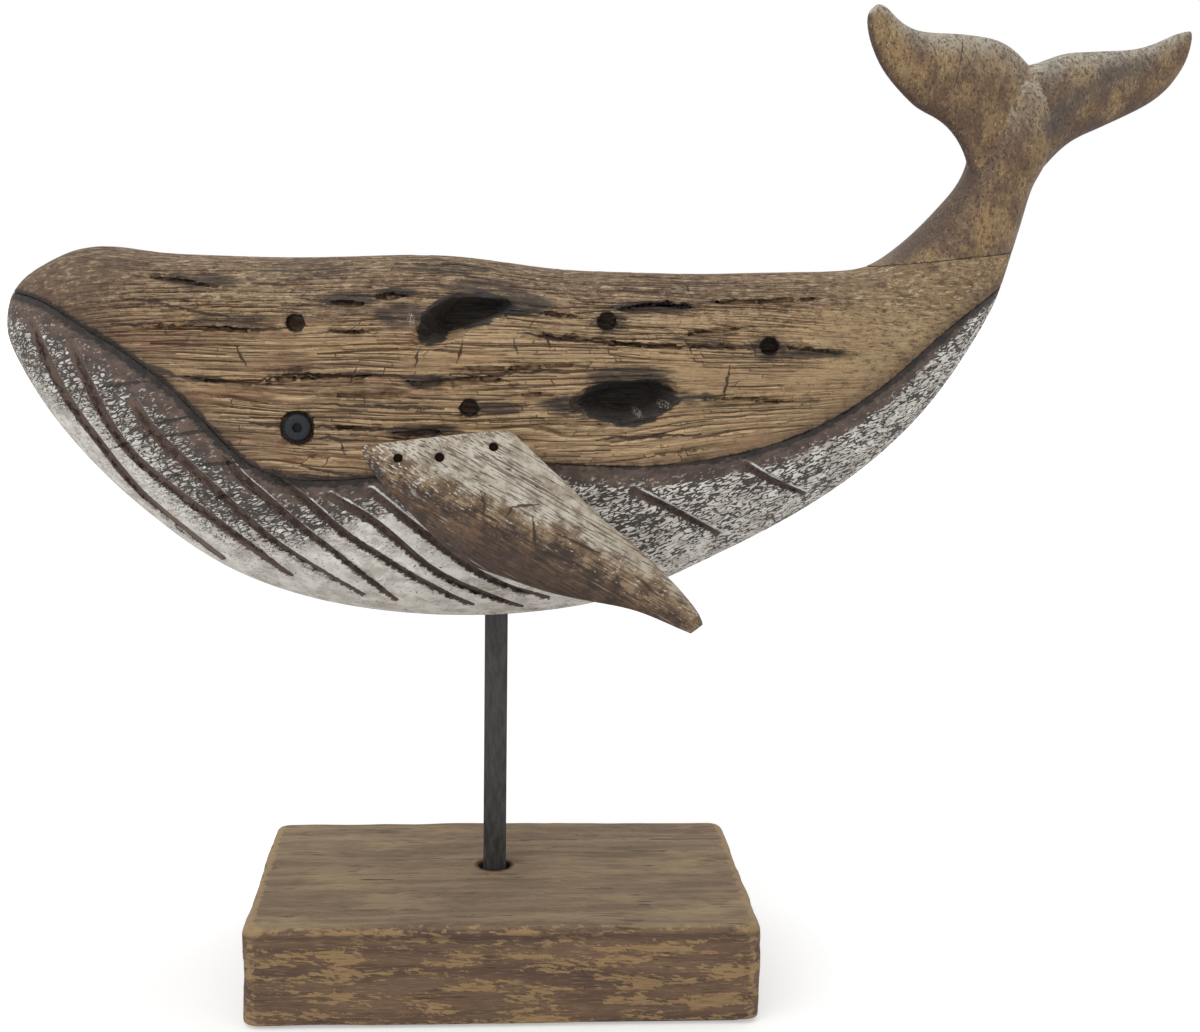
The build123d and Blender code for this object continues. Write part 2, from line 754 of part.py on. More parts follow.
with BuildPart() as eye_holes:
    rod(eye_seat, eye_seat_diameter / 2, reach)
    eye_hole_depth = eye_shank_length + dowel_end_gap
    rod(eye_seat.offset(-eye_hole_depth), eye_shank_diameter / 2 + eye_fit, eye_hole_depth)
    mirror(about=whale_plane)

# The dowels across the seam stand upright, and those of the tail stand square to its joint
body_dowels = {}
for place, share in body_dowel_shares.items():
    x, z = body_point(*share)
    body_dowels[place] = Plane((x, post_y, z))
    pin = dowel(body_dowels[place], body_dowel_diameter, body_dowel_length)
    save(pin.part, f"body_dowel_{place}")

tail_dowels = {}
for place, share in tail_dowel_shares.items():
    centre = Vector(joint_x, post_y, joint_z) + joint_run * share
    tail_dowels[place] = Plane(origin=centre, x_dir=joint_run, z_dir=joint_up)
    pin = dowel(tail_dowels[place], tail_dowel_diameter, tail_dowel_length)
    save(pin.part, f"tail_dowel_{place}")

with BuildPart() as dowel_holes:
    for plane in body_dowels.values():
        half_hole = body_dowel_length / 2 + dowel_end_gap
        rod(plane.offset(-half_hole), body_dowel_diameter / 2 + dowel_fit, 2 * half_hole)
    for plane in tail_dowels.values():
        half_hole = tail_dowel_length / 2 + dowel_end_gap
        rod(plane.offset(-half_hole), tail_dowel_diameter / 2 + dowel_fit, 2 * half_hole)

# The belly: everything below the seam, carved, and bored for the bar
with BuildPart() as whale_belly:
    add(whale_form.part)
    add(tail_space.part, mode=Mode.SUBTRACT)
    add(belly_space.part, mode=Mode.INTERSECT)
    add(seam_groove.part, mode=Mode.SUBTRACT)
    add(pleats.part, mode=Mode.SUBTRACT)
    add(dowel_holes.part, mode=Mode.SUBTRACT)
    add(nail_holes.part, mode=Mode.SUBTRACT)
    add(mirror(nail_holes.part, about=whale_plane, mode=Mode.PRIVATE), mode=Mode.SUBTRACT)
    with BuildSketch(Plane((post_x, post_y, base_top))):
        Circle(post_hole_radius)
    extrude(amount=post_top + post_end_gap - base_top, mode=Mode.SUBTRACT)
save(whale_belly.part, "whale_belly")

# The back: old timber with long splits, and on the near side two burnt hollows and some old
# nail holes
with BuildPart() as whale_back:
    add(whale_form.part)
    add(tail_space.part, mode=Mode.SUBTRACT)
    add(belly_space.part, mode=Mode.SUBTRACT)
    add(timber_splits.part, mode=Mode.SUBTRACT)
    add(dowel_holes.part, mode=Mode.SUBTRACT)
    add(eye_holes.part, mode=Mode.SUBTRACT)
    add(nail_holes.part, mode=Mode.SUBTRACT)
    add(mirror(nail_holes.part, about=whale_plane, mode=Mode.PRIVATE), mode=Mode.SUBTRACT)
    for share in old_nail_shares:
        mouth = skin_point(whale_form.part, whale_plane, *body_point(*share))
        old_nail_floor = mouth - whale_plane.z_dir * old_nail_depth
        with BuildSketch(Plane(origin=old_nail_floor, x_dir=(1, 0, 0), z_dir=whale_plane.z_dir)):
            Circle(old_nail_diameter / 2)
        extrude(amount=reach, mode=Mode.SUBTRACT)
    for share, outline, length, height in hollows:
        mouth = skin_point(whale_form.part, whale_plane, *body_point(*share))
        skin = Plane(origin=mouth, x_dir=(1, 0, 0), z_dir=whale_plane.z_dir)
        lead = hollow_depth * hollow_lead_share
        lead_scale = 1 + (1 - hollow_floor_share) * hollow_lead_share
        mouth_face = hollow_face(skin.offset(lead), outline, length * lead_scale, height * lead_scale)
        floor_face = hollow_face(
            skin.offset(-hollow_depth), outline, length * hollow_floor_share, height * hollow_floor_share
        )
        loft([mouth_face, floor_face], ruled=True, mode=Mode.SUBTRACT)
save(whale_back.part, "whale_back")

# The tail: the stock and two flukes carved from one piece, dowelled onto the back
with BuildPart() as flukes:
    loft(fluke_sections(left_fluke_shares))
    loft(fluke_sections(right_fluke_shares))
    mirror(about=fluke_plane)

with BuildPart() as tail:
    add(whale_form.part)
    add(tail_space.part, mode=Mode.INTERSECT)
    add(flukes.part)
    add(dowel_holes.part, mode=Mode.SUBTRACT)
save(tail.part, "tail")
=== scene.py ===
# %% [markdown]
# # A carved whale on a stand
# The real object is a humpback whale cut from old timber. Its back is cracked and burnt, its
# belly is carved with pleats and whitewashed, and one square steel bar holds it over a heavy
# block. The solids of the CAD model are already in their places. This lesson gives them the
# skin of the real pieces: first a fine mesh that can hold carving, then the relief, and then
# the finish. The CAD model is loaded first, because everything is measured against it.

from functools import partial, reduce
from math import cos, sin

import bpy
import numpy as np
from mathutils import Matrix, Vector


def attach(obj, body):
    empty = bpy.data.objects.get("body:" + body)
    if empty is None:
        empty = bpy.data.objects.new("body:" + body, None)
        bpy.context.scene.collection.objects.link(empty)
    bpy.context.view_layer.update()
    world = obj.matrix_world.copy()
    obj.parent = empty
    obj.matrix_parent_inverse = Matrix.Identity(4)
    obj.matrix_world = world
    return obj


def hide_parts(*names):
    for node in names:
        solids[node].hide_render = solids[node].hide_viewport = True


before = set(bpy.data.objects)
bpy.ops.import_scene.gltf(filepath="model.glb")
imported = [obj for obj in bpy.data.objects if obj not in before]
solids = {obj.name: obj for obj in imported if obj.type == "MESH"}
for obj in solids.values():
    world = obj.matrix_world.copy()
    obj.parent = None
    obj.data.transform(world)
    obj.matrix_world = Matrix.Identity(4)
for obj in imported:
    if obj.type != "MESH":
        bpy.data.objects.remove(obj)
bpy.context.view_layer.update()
mm = 0.001

# %% [markdown]
# ## The camera
# The photograph was taken from a little above the block and slightly from its left, with the
# camera turned a few degrees. The place and the angles were found by fitting the corners of
# the block and the outline of the whale. A camera could also be aimed with a constraint, but
# its roll would be lost, so the three axes are written straight into its matrix.

# %% Set up the camera
camera_place = Vector((-9.013, -639.211, 257.629)) * mm
camera_turn = 0.06527
camera_pitch = 0.14908
camera_roll = 0.01557
photo_width_px = 1200
focal_length_px = 1874.62
sensor_width = 36

ahead = Vector(
    (
        sin(camera_turn) * cos(camera_pitch),
        cos(camera_turn) * cos(camera_pitch),
        -sin(camera_pitch),
    )
)
level = Vector((cos(camera_turn), -sin(camera_turn), 0))
upward = level.cross(ahead)
right = level * cos(camera_roll) + upward * sin(camera_roll)
top = upward * cos(camera_roll) - level * sin(camera_roll)

bpy.ops.object.camera_add()
camera = bpy.context.object
camera.name = "camera"
camera.matrix_world = Matrix.Translation(camera_place) @ Matrix((right, top, -ahead)).transposed().to_4x4()
camera.data.sensor_width = sensor_width
camera.data.lens = sensor_width * focal_length_px / photo_width_px
bpy.context.scene.camera = camera
bpy.context.scene.view_settings.view_transform = "Standard"
print("lens in mm:", round(camera.data.lens, 2))

# %% [markdown]
# ## A bench for nodes
# Materials and carving are both made of nodes. Wiring them by hand in the editor is quick for
# five nodes and slow for fifty, so a small helper lays a node, sets it and joins it in one
# call. The same calls work in a shader and in a modifier, which matters later: a crack that is
# cut into the mesh and the dark paint in that crack then come from the same lines.

# %% The bench
def paint(red, green, blue):
    """A colour with channels from 0 to 255, as a shader socket wants it."""
    channels = []
    for value in (red, green, blue):
        share = value / 255
        channels.append(share / 12.92 if share <= 0.04045 else ((share + 0.055) / 1.055) ** 2.4)
    return (*channels, 1)


class Bench:
    """Lays and joins nodes in one tree."""

    def __init__(self, tree):
        self.tree = tree

    def feed(self, socket, value):
        if isinstance(value, bpy.types.NodeSocket):
            self.tree.links.new(value, socket)
        else:
            socket.default_value = value

    def put(self, kind, inputs=None, **settings):
        node = self.tree.nodes.new(kind)
        for name, value in settings.items():
            setattr(node, name, value)
        for place, value in (inputs or {}).items():
            self.feed(node.inputs[place], value)
        return node

    def sum(self, kind, a, b=0):
        """One or two numbers worked out by FLOOR, ARCTAN2 and so on."""
        return self.put("ShaderNodeMath", {0: a, 1: b}, operation=kind).outputs[0]

    def less(self, a, b):
        return self.sum("SUBTRACT", a, b)

    def plus(self, *values):
        return reduce(partial(self.sum, "ADD"), values)

    def times(self, *values):
        return reduce(partial(self.sum, "MULTIPLY"), values)

    def most(self, *values):
        return reduce(partial(self.sum, "MAXIMUM"), values)

    def weigh(self, *parts):
        """A sum of numbers, each with its weight."""
        return self.plus(*[self.times(value, weight) for value, weight in parts])

    def swing(self, cloud, reach):
        """A cloud from 0 to 1, made to swing evenly about zero."""
        return self.times(self.less(cloud, 0.5), reach)

    def vector(self, kind, a, b):
        """Two places joined like two numbers."""
        return self.put("ShaderNodeVectorMath", {0: a, 1: b}, operation=kind).outputs[0]

    def step(self, value, low, high, from_out=0, to_out=1):
        """A smooth change from one number to another while a value runs from low to high."""
        inputs = {0: value, 1: low, 2: high, 3: from_out, 4: to_out}
        return self.put("ShaderNodeMapRange", inputs, interpolation_type="SMOOTHSTEP").outputs[0]

    def stretch(self, place, size):
        """A place measured in units of a size along each axis."""
        return self.vector("MULTIPLY", place, tuple(1 / s for s in size))

    def turn(self, place, angle):
        """A place turned about the Y axis, so that its patterns slope in the side view."""
        inputs = {"Vector": place, "Angle": angle}
        return self.put("ShaderNodeVectorRotate", inputs, rotation_type="Y_AXIS").outputs[0]

    def noise(self, place, size, detail=2, rough=0.5, wander=0):
        """Cloudy noise whose clouds have a size in millimetres along each axis."""
        inputs = {"Vector": self.stretch(place, size), "Scale": 1, "Detail": detail}
        inputs.update({"Roughness": rough, "Distortion": wander})
        return self.put("ShaderNodeTexNoise", inputs).outputs[0]

    def plate_edges(self, place, size):
        """How far each spot is from the edge of plates of a size in millimetres along each axis."""
        inputs = {"Vector": self.stretch(place, size), "Scale": 1}
        return self.put("ShaderNodeTexVoronoi", inputs, feature="DISTANCE_TO_EDGE").outputs["Distance"]

    def sway(self, place, size, amount):
        """A place pushed about by slow noise, by up to an amount along each axis."""
        inputs = {"Vector": self.stretch(place, size), "Scale": 1, "Detail": 1}
        cloud = self.put("ShaderNodeTexNoise", inputs).outputs["Color"]
        centred = self.vector("SUBTRACT", cloud, (0.5, 0.5, 0.5))
        inputs = {0: centred, 1: tuple(2 * a for a in amount), 2: place}
        return self.put("ShaderNodeVectorMath", inputs, operation="MULTIPLY_ADD").outputs[0]

    def line(self, value, middle, width):
        """One where a value passes its middle, and zero a width away from it."""
        away = self.sum("ABSOLUTE", self.less(value, middle))
        return self.step(away, 0, width, 1, 0)

    def blend(self, share, a, b):
        """From colour a to colour b, each from a node or as channels from 0 to 255."""
        node = self.put("ShaderNodeMix", {0: share}, data_type="RGBA")
        for index, value in ((6, a), (7, b)):
            self.feed(node.inputs[index], paint(*value) if isinstance(value, tuple) else value)
        return node.outputs[2]

    def tones(self, value, low, high, a, b):
        """Colour a where a value is low, and colour b where it is high."""
        return self.blend(self.step(value, low, high), a, b)

    def axis(self, place, index):
        """The X, Y or Z of a place."""
        return self.put("ShaderNodeSeparateXYZ", {0: place}).outputs[index]

    def seen(self):
        """One for what the camera sees, straight, mirrored or through something clear."""
        rays = self.put("ShaderNodeLightPath").outputs
        return self.most(*[rays[f"Is {kind} Ray"] for kind in ("Camera", "Glossy", "Transmission")])


def effect(name, inputs, outputs, build):
    """A shader node group with named sockets, which a function fills."""
    tree = bpy.data.node_groups.new(name, "ShaderNodeTree")
    for label, kind, value in inputs:
        socket = tree.interface.new_socket(label, in_out="INPUT", socket_type=kind)
        if value is not None:
            socket.default_value = value
    for label, kind in outputs:
        tree.interface.new_socket(label, in_out="OUTPUT", socket_type=kind)
    bench = Bench(tree)
    entry = bench.put("NodeGroupInput")
    made = build(bench, entry.outputs)
    bench.put("NodeGroupOutput", {label: made[label] for label, _ in outputs})
    print("effect", name, "has", len(tree.nodes), "nodes")
    return tree


class Finish(Bench):
    """A material with one principled shader, whose patterns are measured in millimetres."""

    def __init__(self, name, **sockets):
        self.material = bpy.data.materials.new(name)
        self.material.use_nodes = True
        super().__init__(self.material.node_tree)
        self.shader = self.tree.nodes["Principled BSDF"]
        for label, value in sockets.items():
            self.shader.inputs[label.replace("_", " ")].default_value = value
        self.place = self.stretch(self.put("ShaderNodeTexCoord").outputs["Object"], (mm, mm, mm))
        self.colour = None

    def layer(self, name):
        """A number that was stored on the piece's vertices."""
        return self.put("ShaderNodeAttribute", attribute_name=name).outputs["Fac"]

    def use(self, group, **inputs):
        """One of the shared effects, with its own values."""
        node = self.put("ShaderNodeGroup", node_tree=group)
        for label, value in inputs.items():
            self.feed(node.inputs[label], value)
        return node.outputs

    def cloud(self, size, **kinds):
        """Noise at the spot itself."""
        return self.noise(self.place, size, **kinds)

    def aside(self, shift):
        """The place moved aside, so that a second pattern differs from the first."""
        return self.vector("ADD", self.place, (shift,) * 3)

    def far_from(self, spot):
        """How far the place is from one spot."""
        inputs = {0: self.place, 1: spot}
        return self.put("ShaderNodeVectorMath", inputs, operation="DISTANCE").outputs["Value"]

    def flecks(self, size, level, place=None):
        """Spots of a size, fewer the higher the level from 0.4 to 0.7."""
        return self.use(fleck_field, Place=place or self.place, Size=size, Level=level)["Mask"]

    def cracks(self, name, wobble=0):
        """The cracks that were measured on the piece's vertices under one name, as a mask."""
        inputs = {label: self.layer(name + "_" + label.lower()) for label in ("Above", "Near", "Half")}
        return self.use(crack_line, Wobble=wobble, **inputs)["Mask"]

    def coat(self, share, colour, full=1):
        """Lays a colour over what is there, where the share is one up to the full share."""
        self.colour = self.blend(self.times(share, full), self.colour, colour)

    def stain(self, value, low, high, colour, full=1):
        """Lays a colour over what is there, more and more while a value runs from low to high."""
        self.coat(self.step(value, low, high), colour, full)

    def wear(self, roughness, height):
        """Joins the finished patterns to the shader. The height is in millimetres."""
        self.feed(self.shader.inputs["Base Color"], self.colour)
        self.feed(self.shader.inputs["Roughness"], roughness)
        bump = self.put("ShaderNodeBump", {"Height": height, "Distance": mm})
        self.feed(self.shader.inputs["Normal"], bump.outputs[0])
        return self.material


# %% [markdown]
# ## The floor and the light
# The photograph was taken on white with soft light from above, and the white below throws
# much of it back under the belly. A pale floor does the same here. It stays an ordinary
# matt floor that catches the shadow, and only what the camera sees of it is lifted to white,
# more so far away, where the lamps no longer reach. A wide lamp above the front, a weaker one
# overhead and an even sky give the soft light.

# %% Floor, sky and lamps
floor_size = 12
floor_colour = paint(226, 226, 226)
floor_lift, far_lift = 0.42, 1
near_mm, far_mm = 500, 2200
sky_level = 0.62

bpy.ops.mesh.primitive_plane_add(size=floor_size)
floor = bpy.context.object
floor.name = "floor"
floor_finish = Finish("pale_floor", Roughness=0.9)
floor_finish.shader.inputs["Base Color"].default_value = floor_colour
lifted = floor_finish.step(floor_finish.far_from((0, 0, 0)), near_mm, far_mm, floor_lift, far_lift)
strength = floor_finish.times(floor_finish.seen(), lifted)
lift = floor_finish.put("ShaderNodeEmission", {"Strength": strength})
both = floor_finish.put("ShaderNodeAddShader", {0: floor_finish.shader.outputs[0], 1: lift.outputs[0]})
output = floor_finish.tree.nodes["Material Output"]
floor_finish.feed(output.inputs["Surface"], both.outputs[0])
floor.data.materials.append(floor_finish.material)

sky = bpy.data.worlds.new("studio")
bpy.context.scene.world = sky
sky.use_nodes = True
sky_bench = Bench(sky.node_tree)
background = sky.node_tree.nodes["Background"]
background.inputs["Color"].default_value = (1, 1, 1, 1)
sky_bench.feed(background.inputs["Strength"], sky_bench.step(sky_bench.seen(), 0, 1, sky_level, 1))


def soft_lamp(name, place, aim, size, watts):
    """A square lamp that looks at a point."""
    bpy.ops.object.light_add(type="AREA", location=place)
    lamp = bpy.context.object
    lamp.name = name
    lamp.data.size = size
    lamp.data.energy = watts
    lamp.rotation_mode = "QUATERNION"
    lamp.rotation_quaternion = (Vector(aim) - Vector(place)).to_track_quat("-Z", "Y")
    print("lamp", name, watts, "W")


whale_middle = (0.02, 0, 0.2)
soft_lamp("front_lamp", (-0.6, -1.1, 1.25), whale_middle, 1.3, 9)
soft_lamp("top_lamp", (0.2, 0.3, 1.9), whale_middle, 1.2, 6)

# %% [markdown]
# ## A skin that can be carved
# A CAD mesh has long thin triangles, and relief needs small even faces. Subdividing keeps the
# long shapes, while a voxel remesh lays even faces over the whole piece, so that is used.
# Timber cracks are long along the grain and narrow across it. The copy is squeezed along the
# grain before the remesh and stretched back after it, which gives faces of that same shape.

# %% Copy a solid and lay a fine skin over it
def select_only(piece):
    """Selects one object and makes it active."""
    bpy.ops.object.select_all(action="DESELECT")
    piece.select_set(True)
    bpy.context.view_layer.objects.active = piece


def apply_modifier(piece, kind, **settings):
    """Adds a modifier, sets it and applies it."""
    modifier = piece.modifiers.new(kind.lower(), kind)
    for label, value in settings.items():
        setattr(modifier, label, value)
    select_only(piece)
    bpy.ops.object.modifier_apply(modifier=modifier.name)


def thin_out(piece, most):
    """Joins small faces where the skin is plain until at most so many triangles are left."""
    triangles = sum(len(face.vertices) - 2 for face in piece.data.polygons)
    if triangles > most:
        apply_modifier(piece, "DECIMATE", ratio=most / triangles)
    bpy.ops.object.shade_smooth()
    print(piece.name, "has", len(piece.data.polygons), "faces after thinning")


def skin_of(node, name, voxel, squeeze=1, rounds=2):
    """A copy of a solid with even small faces, narrower across the grain than along it."""
    piece = bpy.data.objects.new(name, solids[node].data.copy())
    bpy.context.scene.collection.objects.link(piece)
    select_only(piece)
    bpy.ops.object.mode_set(mode="EDIT")
    bpy.ops.mesh.select_all(action="SELECT")
    bpy.ops.mesh.remove_doubles(threshold=0.001 * mm)
    bpy.ops.object.mode_set(mode="OBJECT")
    piece.data.transform(Matrix.Diagonal((squeeze, 1, 1, 1)))
    piece.data.remesh_voxel_size = voxel * mm
    bpy.ops.object.voxel_remesh()
    piece.data.transform(Matrix.Diagonal((1 / squeeze, 1, 1, 1)))
    piece.data.materials.clear()
    apply_modifier(piece, "SMOOTH", factor=0.5, iterations=rounds)
    bpy.ops.object.shade_smooth()
    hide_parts(node)
    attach(piece, "root")
    print(name, "has", len(piece.data.polygons), "faces")
    return piece


def places_of(piece):
    """The piece's vertices in millimetres."""
    flat = np.empty(len(piece.data.vertices) * 3, np.float32)
    piece.data.vertices.foreach_get("co", flat)
    return flat.reshape(-1, 3) / mm


def side_of(piece):
    """The vertices in the side view."""
    return places_of(piece)[:, [0, 2]]


def store(piece, name, values):
    """Keeps one number on each vertex, for the carving and for the finish."""
    layer = piece.data.attributes.new(name, "FLOAT", "POINT")
    layer.data.foreach_set("value", np.asarray(values, np.float32))


def carve(piece, name, depth_of):
    """Presses a piece's skin inwards by a depth in millimetres that a function lays as nodes."""
    tree = bpy.data.node_groups.new(name, "GeometryNodeTree")
    tree.interface.new_socket("Geometry", in_out="INPUT", socket_type="NodeSocketGeometry")
    tree.interface.new_socket("Geometry", in_out="OUTPUT", socket_type="NodeSocketGeometry")
    bench = Bench(tree)
    entry = bench.put("NodeGroupInput")
    place = bench.stretch(bench.put("GeometryNodeInputPosition").outputs[0], (mm, mm, mm))

    def layer(label):
        return bench.put("GeometryNodeInputNamedAttribute", {"Name": label}).outputs[0]

    inward = bench.times(depth_of(bench, place, layer), -mm)
    normal = bench.put("GeometryNodeInputNormal").outputs[0]
    push = bench.put("ShaderNodeVectorMath", {0: normal, "Scale": inward}, operation="SCALE").outputs[0]
    moved = bench.put("GeometryNodeSetPosition", {"Geometry": entry.outputs[0], "Offset": push})
    bench.put("NodeGroupOutput", {0: moved.outputs[0]})
    modifier = piece.modifiers.new(name, "NODES")
    modifier.node_group = tree
    select_only(piece)
    bpy.ops.object.modifier_apply(modifier=modifier.name)
    print(piece.name, "is carved with", name)


# %% [markdown]
# ## Where things lie on the whale
# The seam between the back and the belly, the throat pleats and the burnt hollows are all
# drawn on the whale's side view, as shares of the body's length and depth, exactly as they
# are in the CAD model. Each vertex then learns how far it is from them. A painted mask could
# do this too, but a measured distance stays sharp at any size and is easy to correct.

# %% Routes on the side view
nose_x = -167.6
body_length = 340
body_bottom = 125.5
body_depth = 126
whale_middle_y = 6

seam_shares = [
    (-0.03, 0.876), (0.011, 0.874), (0.035, 0.866), (0.058, 0.845), (0.084, 0.806),
    (0.134, 0.729), (0.181, 0.634), (0.228, 0.508), (0.251, 0.456), (0.274, 0.428),
    (0.31, 0.418), (0.372, 0.43), (0.449, 0.455), (0.543, 0.465), (0.621, 0.458),
    (0.699, 0.479), (0.779, 0.537), (0.859, 0.656), (0.932, 0.817), (0.975, 0.898),
    (1.03, 0.985),
]
pleat_shares = [
    [(0.038, 0.8), (0.05, 0.731), (0.073, 0.61), (0.102, 0.498), (0.138, 0.368), (0.215, 0.186)],
    [(0.08, 0.749), (0.098, 0.641), (0.118, 0.537), (0.142, 0.455), (0.202, 0.325), (0.284, 0.148)],
    [(0.141, 0.606), (0.16, 0.531), (0.191, 0.451), (0.225, 0.366), (0.265, 0.262), (0.354, 0.095)],
    [(0.223, 0.486), (0.242, 0.425), (0.269, 0.361), (0.299, 0.287), (0.328, 0.223), (0.386, 0.08)],
    [(0.272, 0.426), (0.305, 0.36), (0.337, 0.281), (0.372, 0.214), (0.415, 0.135), (0.461, 0.065)],
    [(0.326, 0.38), (0.373, 0.298), (0.424, 0.173), (0.468, 0.106), (0.51, 0.056)],
    [(0.364, 0.394), (0.429, 0.248), (0.478, 0.149), (0.536, 0.086)],
    [(0.613, 0.397), (0.657, 0.335), (0.704, 0.264)],
    [(0.723, 0.46), (0.755, 0.41), (0.79, 0.369)],
]
route_step = 0.1


def smooth_route(shares):
    """A curve in millimetres through some shares of the side view, as many short steps."""
    points = np.array([(nose_x + l * body_length, body_bottom + d * body_depth) for l, d in shares])
    ends = np.vstack([2 * points[0] - points[1], points, 2 * points[-1] - points[-2]])
    fine = []
    for a, b, c, d in zip(ends, ends[1:], ends[2:], ends[3:]):
        for t in np.arange(0, 1, route_step):
            curve = 2 * b + (c - a) * t + (2 * a - 5 * b + 4 * c - d) * t**2
            fine.append((curve + (3 * b - a - 3 * c + d) * t**3) / 2)
    return np.array(fine + [points[-1]])


far_off = 1e3


def distance_to(route, side):
    """How far each point of the side view is from a route, and how far along the nearest spot is."""
    best = np.full(len(side), far_off)
    along = np.zeros(len(side))
    for index, (a, b) in enumerate(zip(route, route[1:])):
        run = b - a
        share = np.clip(((side - a) @ run) / (run @ run), 0, 1)
        gap = np.linalg.norm(side - a - share[:, None] * run, axis=1)
        nearer = gap < best
        best[nearer] = gap[nearer]
        along[nearer] = (index + share[nearer]) / (len(route) - 1)
    return best, along


seam_route = smooth_route(seam_shares)
pleat_routes = [smooth_route(shares) for shares in pleat_shares]


def over(route, side):
    """The distance above a route, less than zero below it."""
    gap = distance_to(route, side)[0]
    return np.where(side[:, 1] > np.interp(side[:, 0], route[:, 0], route[:, 1]), gap, -gap)


def within(outline, side):
    """How far each point lies inside a closed outline, less than zero outside it."""
    closed = np.array(outline + outline[:1], float)
    crossed = np.zeros(len(side), bool)
    for a, b in zip(closed, closed[1:]):
        spans = (a[1] > side[:, 1]) != (b[1] > side[:, 1])
        rise = b[1] - a[1] or 1
        crossed ^= spans & (side[:, 0] < a[0] + (side[:, 1] - a[1]) * (b[0] - a[0]) / rise)
    gap = distance_to(closed, side)[0]
    return np.where(crossed, gap, -gap)


print("seam steps:", len(seam_route), "pleats:", len(pleat_routes))

# %% [markdown]
# ## What lies deep and what stands proud
# Shade gathers in every hollow of a carved piece, and here it is painted: the finishes darken the
# recesses as painted shade, which on the back also darkens the burnt slots, and lighten what
# stands proud, as a painted highlight on the tail and as wear on the block. Blender can measure
# hollows while rendering, but only by sampling, which is noisy and is lost when the model leaves
# Blender. Here each vertex is compared with a smoothed copy of the skin instead: where the smooth
# skin lies outside the real one, the vertex is in a recess. The number is stored once and every
# finish can read it.

# %% Depth below the smoothed skin
def store_sunk(piece, rounds=14):
    """Keeps how many millimetres each vertex lies below the smoothed skin."""
    mesh = piece.data
    places = places_of(piece).astype(float)
    edges = np.empty(len(mesh.edges) * 2, np.int32)
    mesh.edges.foreach_get("vertices", edges)
    first, second = edges.reshape(-1, 2).T
    count = len(places)
    degree = np.bincount(first, minlength=count) + np.bincount(second, minlength=count)
    degree = np.maximum(degree, 1)[:, None]
    smooth = places.copy()
    for _ in range(rounds):
        total = np.empty_like(smooth)
        for axis in range(3):
            total[:, axis] = np.bincount(first, smooth[second, axis], count)
            total[:, axis] += np.bincount(second, smooth[first, axis], count)
        smooth = (smooth + total / degree) / 2
    normals = np.empty(count * 3, np.float32)
    mesh.vertex_normals.foreach_get("vector", normals)
    sunk = ((smooth - places) * normals.reshape(-1, 3)).sum(axis=1)
    store(piece, "sunk", sunk)
    print(piece.name, "deepest recess in mm:", round(float(sunk.max()), 2))


# %% [markdown]
# ## Old timber
# Weathered timber breaks along its grain. Rain washes out the soft bands between the hard
# ones, and fibres lift and snap off in long steps with blunt ends. That is much like courses
# of very long thin bricks, so the pattern is laid that way: a course number and a brick
# number come from rounding down, and a random number for each brick sets its level. Clouds
# bend the courses so that none looks ruled. Three sizes of courses lie over each other. The
# same function serves the modifier, which cuts the large ones, and the shader, which paints
# and bumps all three.

# %% Courses of broken fibres
def flat_place(bench, a, b):
    """Two numbers as a place."""
    return bench.put("ShaderNodeCombineXYZ", {0: a, 1: b}).outputs[0]


def chance(bench, a, b=0):
    """A random number from 0 to 1 for each pair of whole numbers."""
    pair = flat_place(bench, a, b)
    return bench.put("ShaderNodeTexWhiteNoise", {"Vector": pair}, noise_dimensions="2D").outputs["Value"]


course_drift, course_swell = 3, 1.9
brick_swell, brick_shift, keen_shift = 0.5, 31.7, 57


def courses(bench, along, around, height, length):
    """Level, rise, crack and ridge of courses with a height and a length in millimetres; the ridge takes a
    painted highlight.
    """
    flat = flat_place(bench, along, around)
    drift = bench.noise(flat, (60, height * 9, 1), detail=1)
    swell = bench.noise(flat, (length * 1.6, height * 2.6, 1), detail=1.5)
    row = bench.weigh((around, 1 / height), (drift, course_drift), (swell, course_swell))
    course, rise = bench.sum("FLOOR", row), bench.sum("FRACT", row)
    start = bench.times(chance(bench, course), brick_shift)
    run = bench.plus(bench.weigh((along, 1 / length), (swell, brick_swell)), start)
    brick, end = bench.sum("FLOOR", run), bench.sum("FRACT", run)
    level = chance(bench, course, brick)
    keen = chance(bench, bench.plus(course, keen_shift), brick)
    crack = bench.times(bench.step(rise, 0.1, 0.32, 1, 0), bench.step(keen, 0.3, 0.45))
    blunt = bench.times(bench.step(end, 0.2 / length, 0.55 / length, 1, 0), bench.step(keen, 0.72, 0.75))
    ridge = bench.times(bench.step(rise, 0.55, 0.92), bench.step(level, 0.2, 0.7))
    return level, rise, bench.most(crack, blunt), ridge


large_course = (2.9, 30)
middle_course = (1.45, 17)
fine_course = (0.8, 9)


def timber_relief(bench, sockets):
    """All that the shader needs to know about old timber, from the way along and round it."""
    along, around = sockets["Along"], sockets["Around"]
    flat = flat_place(bench, along, around)
    large, middle, fine = (
        courses(bench, along, around, *course) for course in (large_course, middle_course, fine_course)
    )
    level = bench.weigh((large[0], 0.4), (middle[0], 0.4), (fine[0], 0.2))
    crack = bench.most(large[2], middle[2], bench.times(fine[2], 0.4))
    ridge = bench.most(large[3], middle[3], bench.times(fine[3], 0.7))
    thread = bench.noise(flat, (7, 0.45, 1), detail=3, rough=0.6)
    streak = bench.noise(flat, (70, 6, 1), detail=3, rough=0.55)
    return {"Level": level, "Crack": crack, "Ridge": ridge, "Thread": thread, "Streak": streak}


vector, number = "NodeSocketVector", "NodeSocketFloat"
broken_timber = effect(
    "broken_timber",
    [("Along", number, None), ("Around", number, None)],
    [(label, number) for label in ("Level", "Crack", "Ridge", "Thread", "Streak")],
    timber_relief,
)

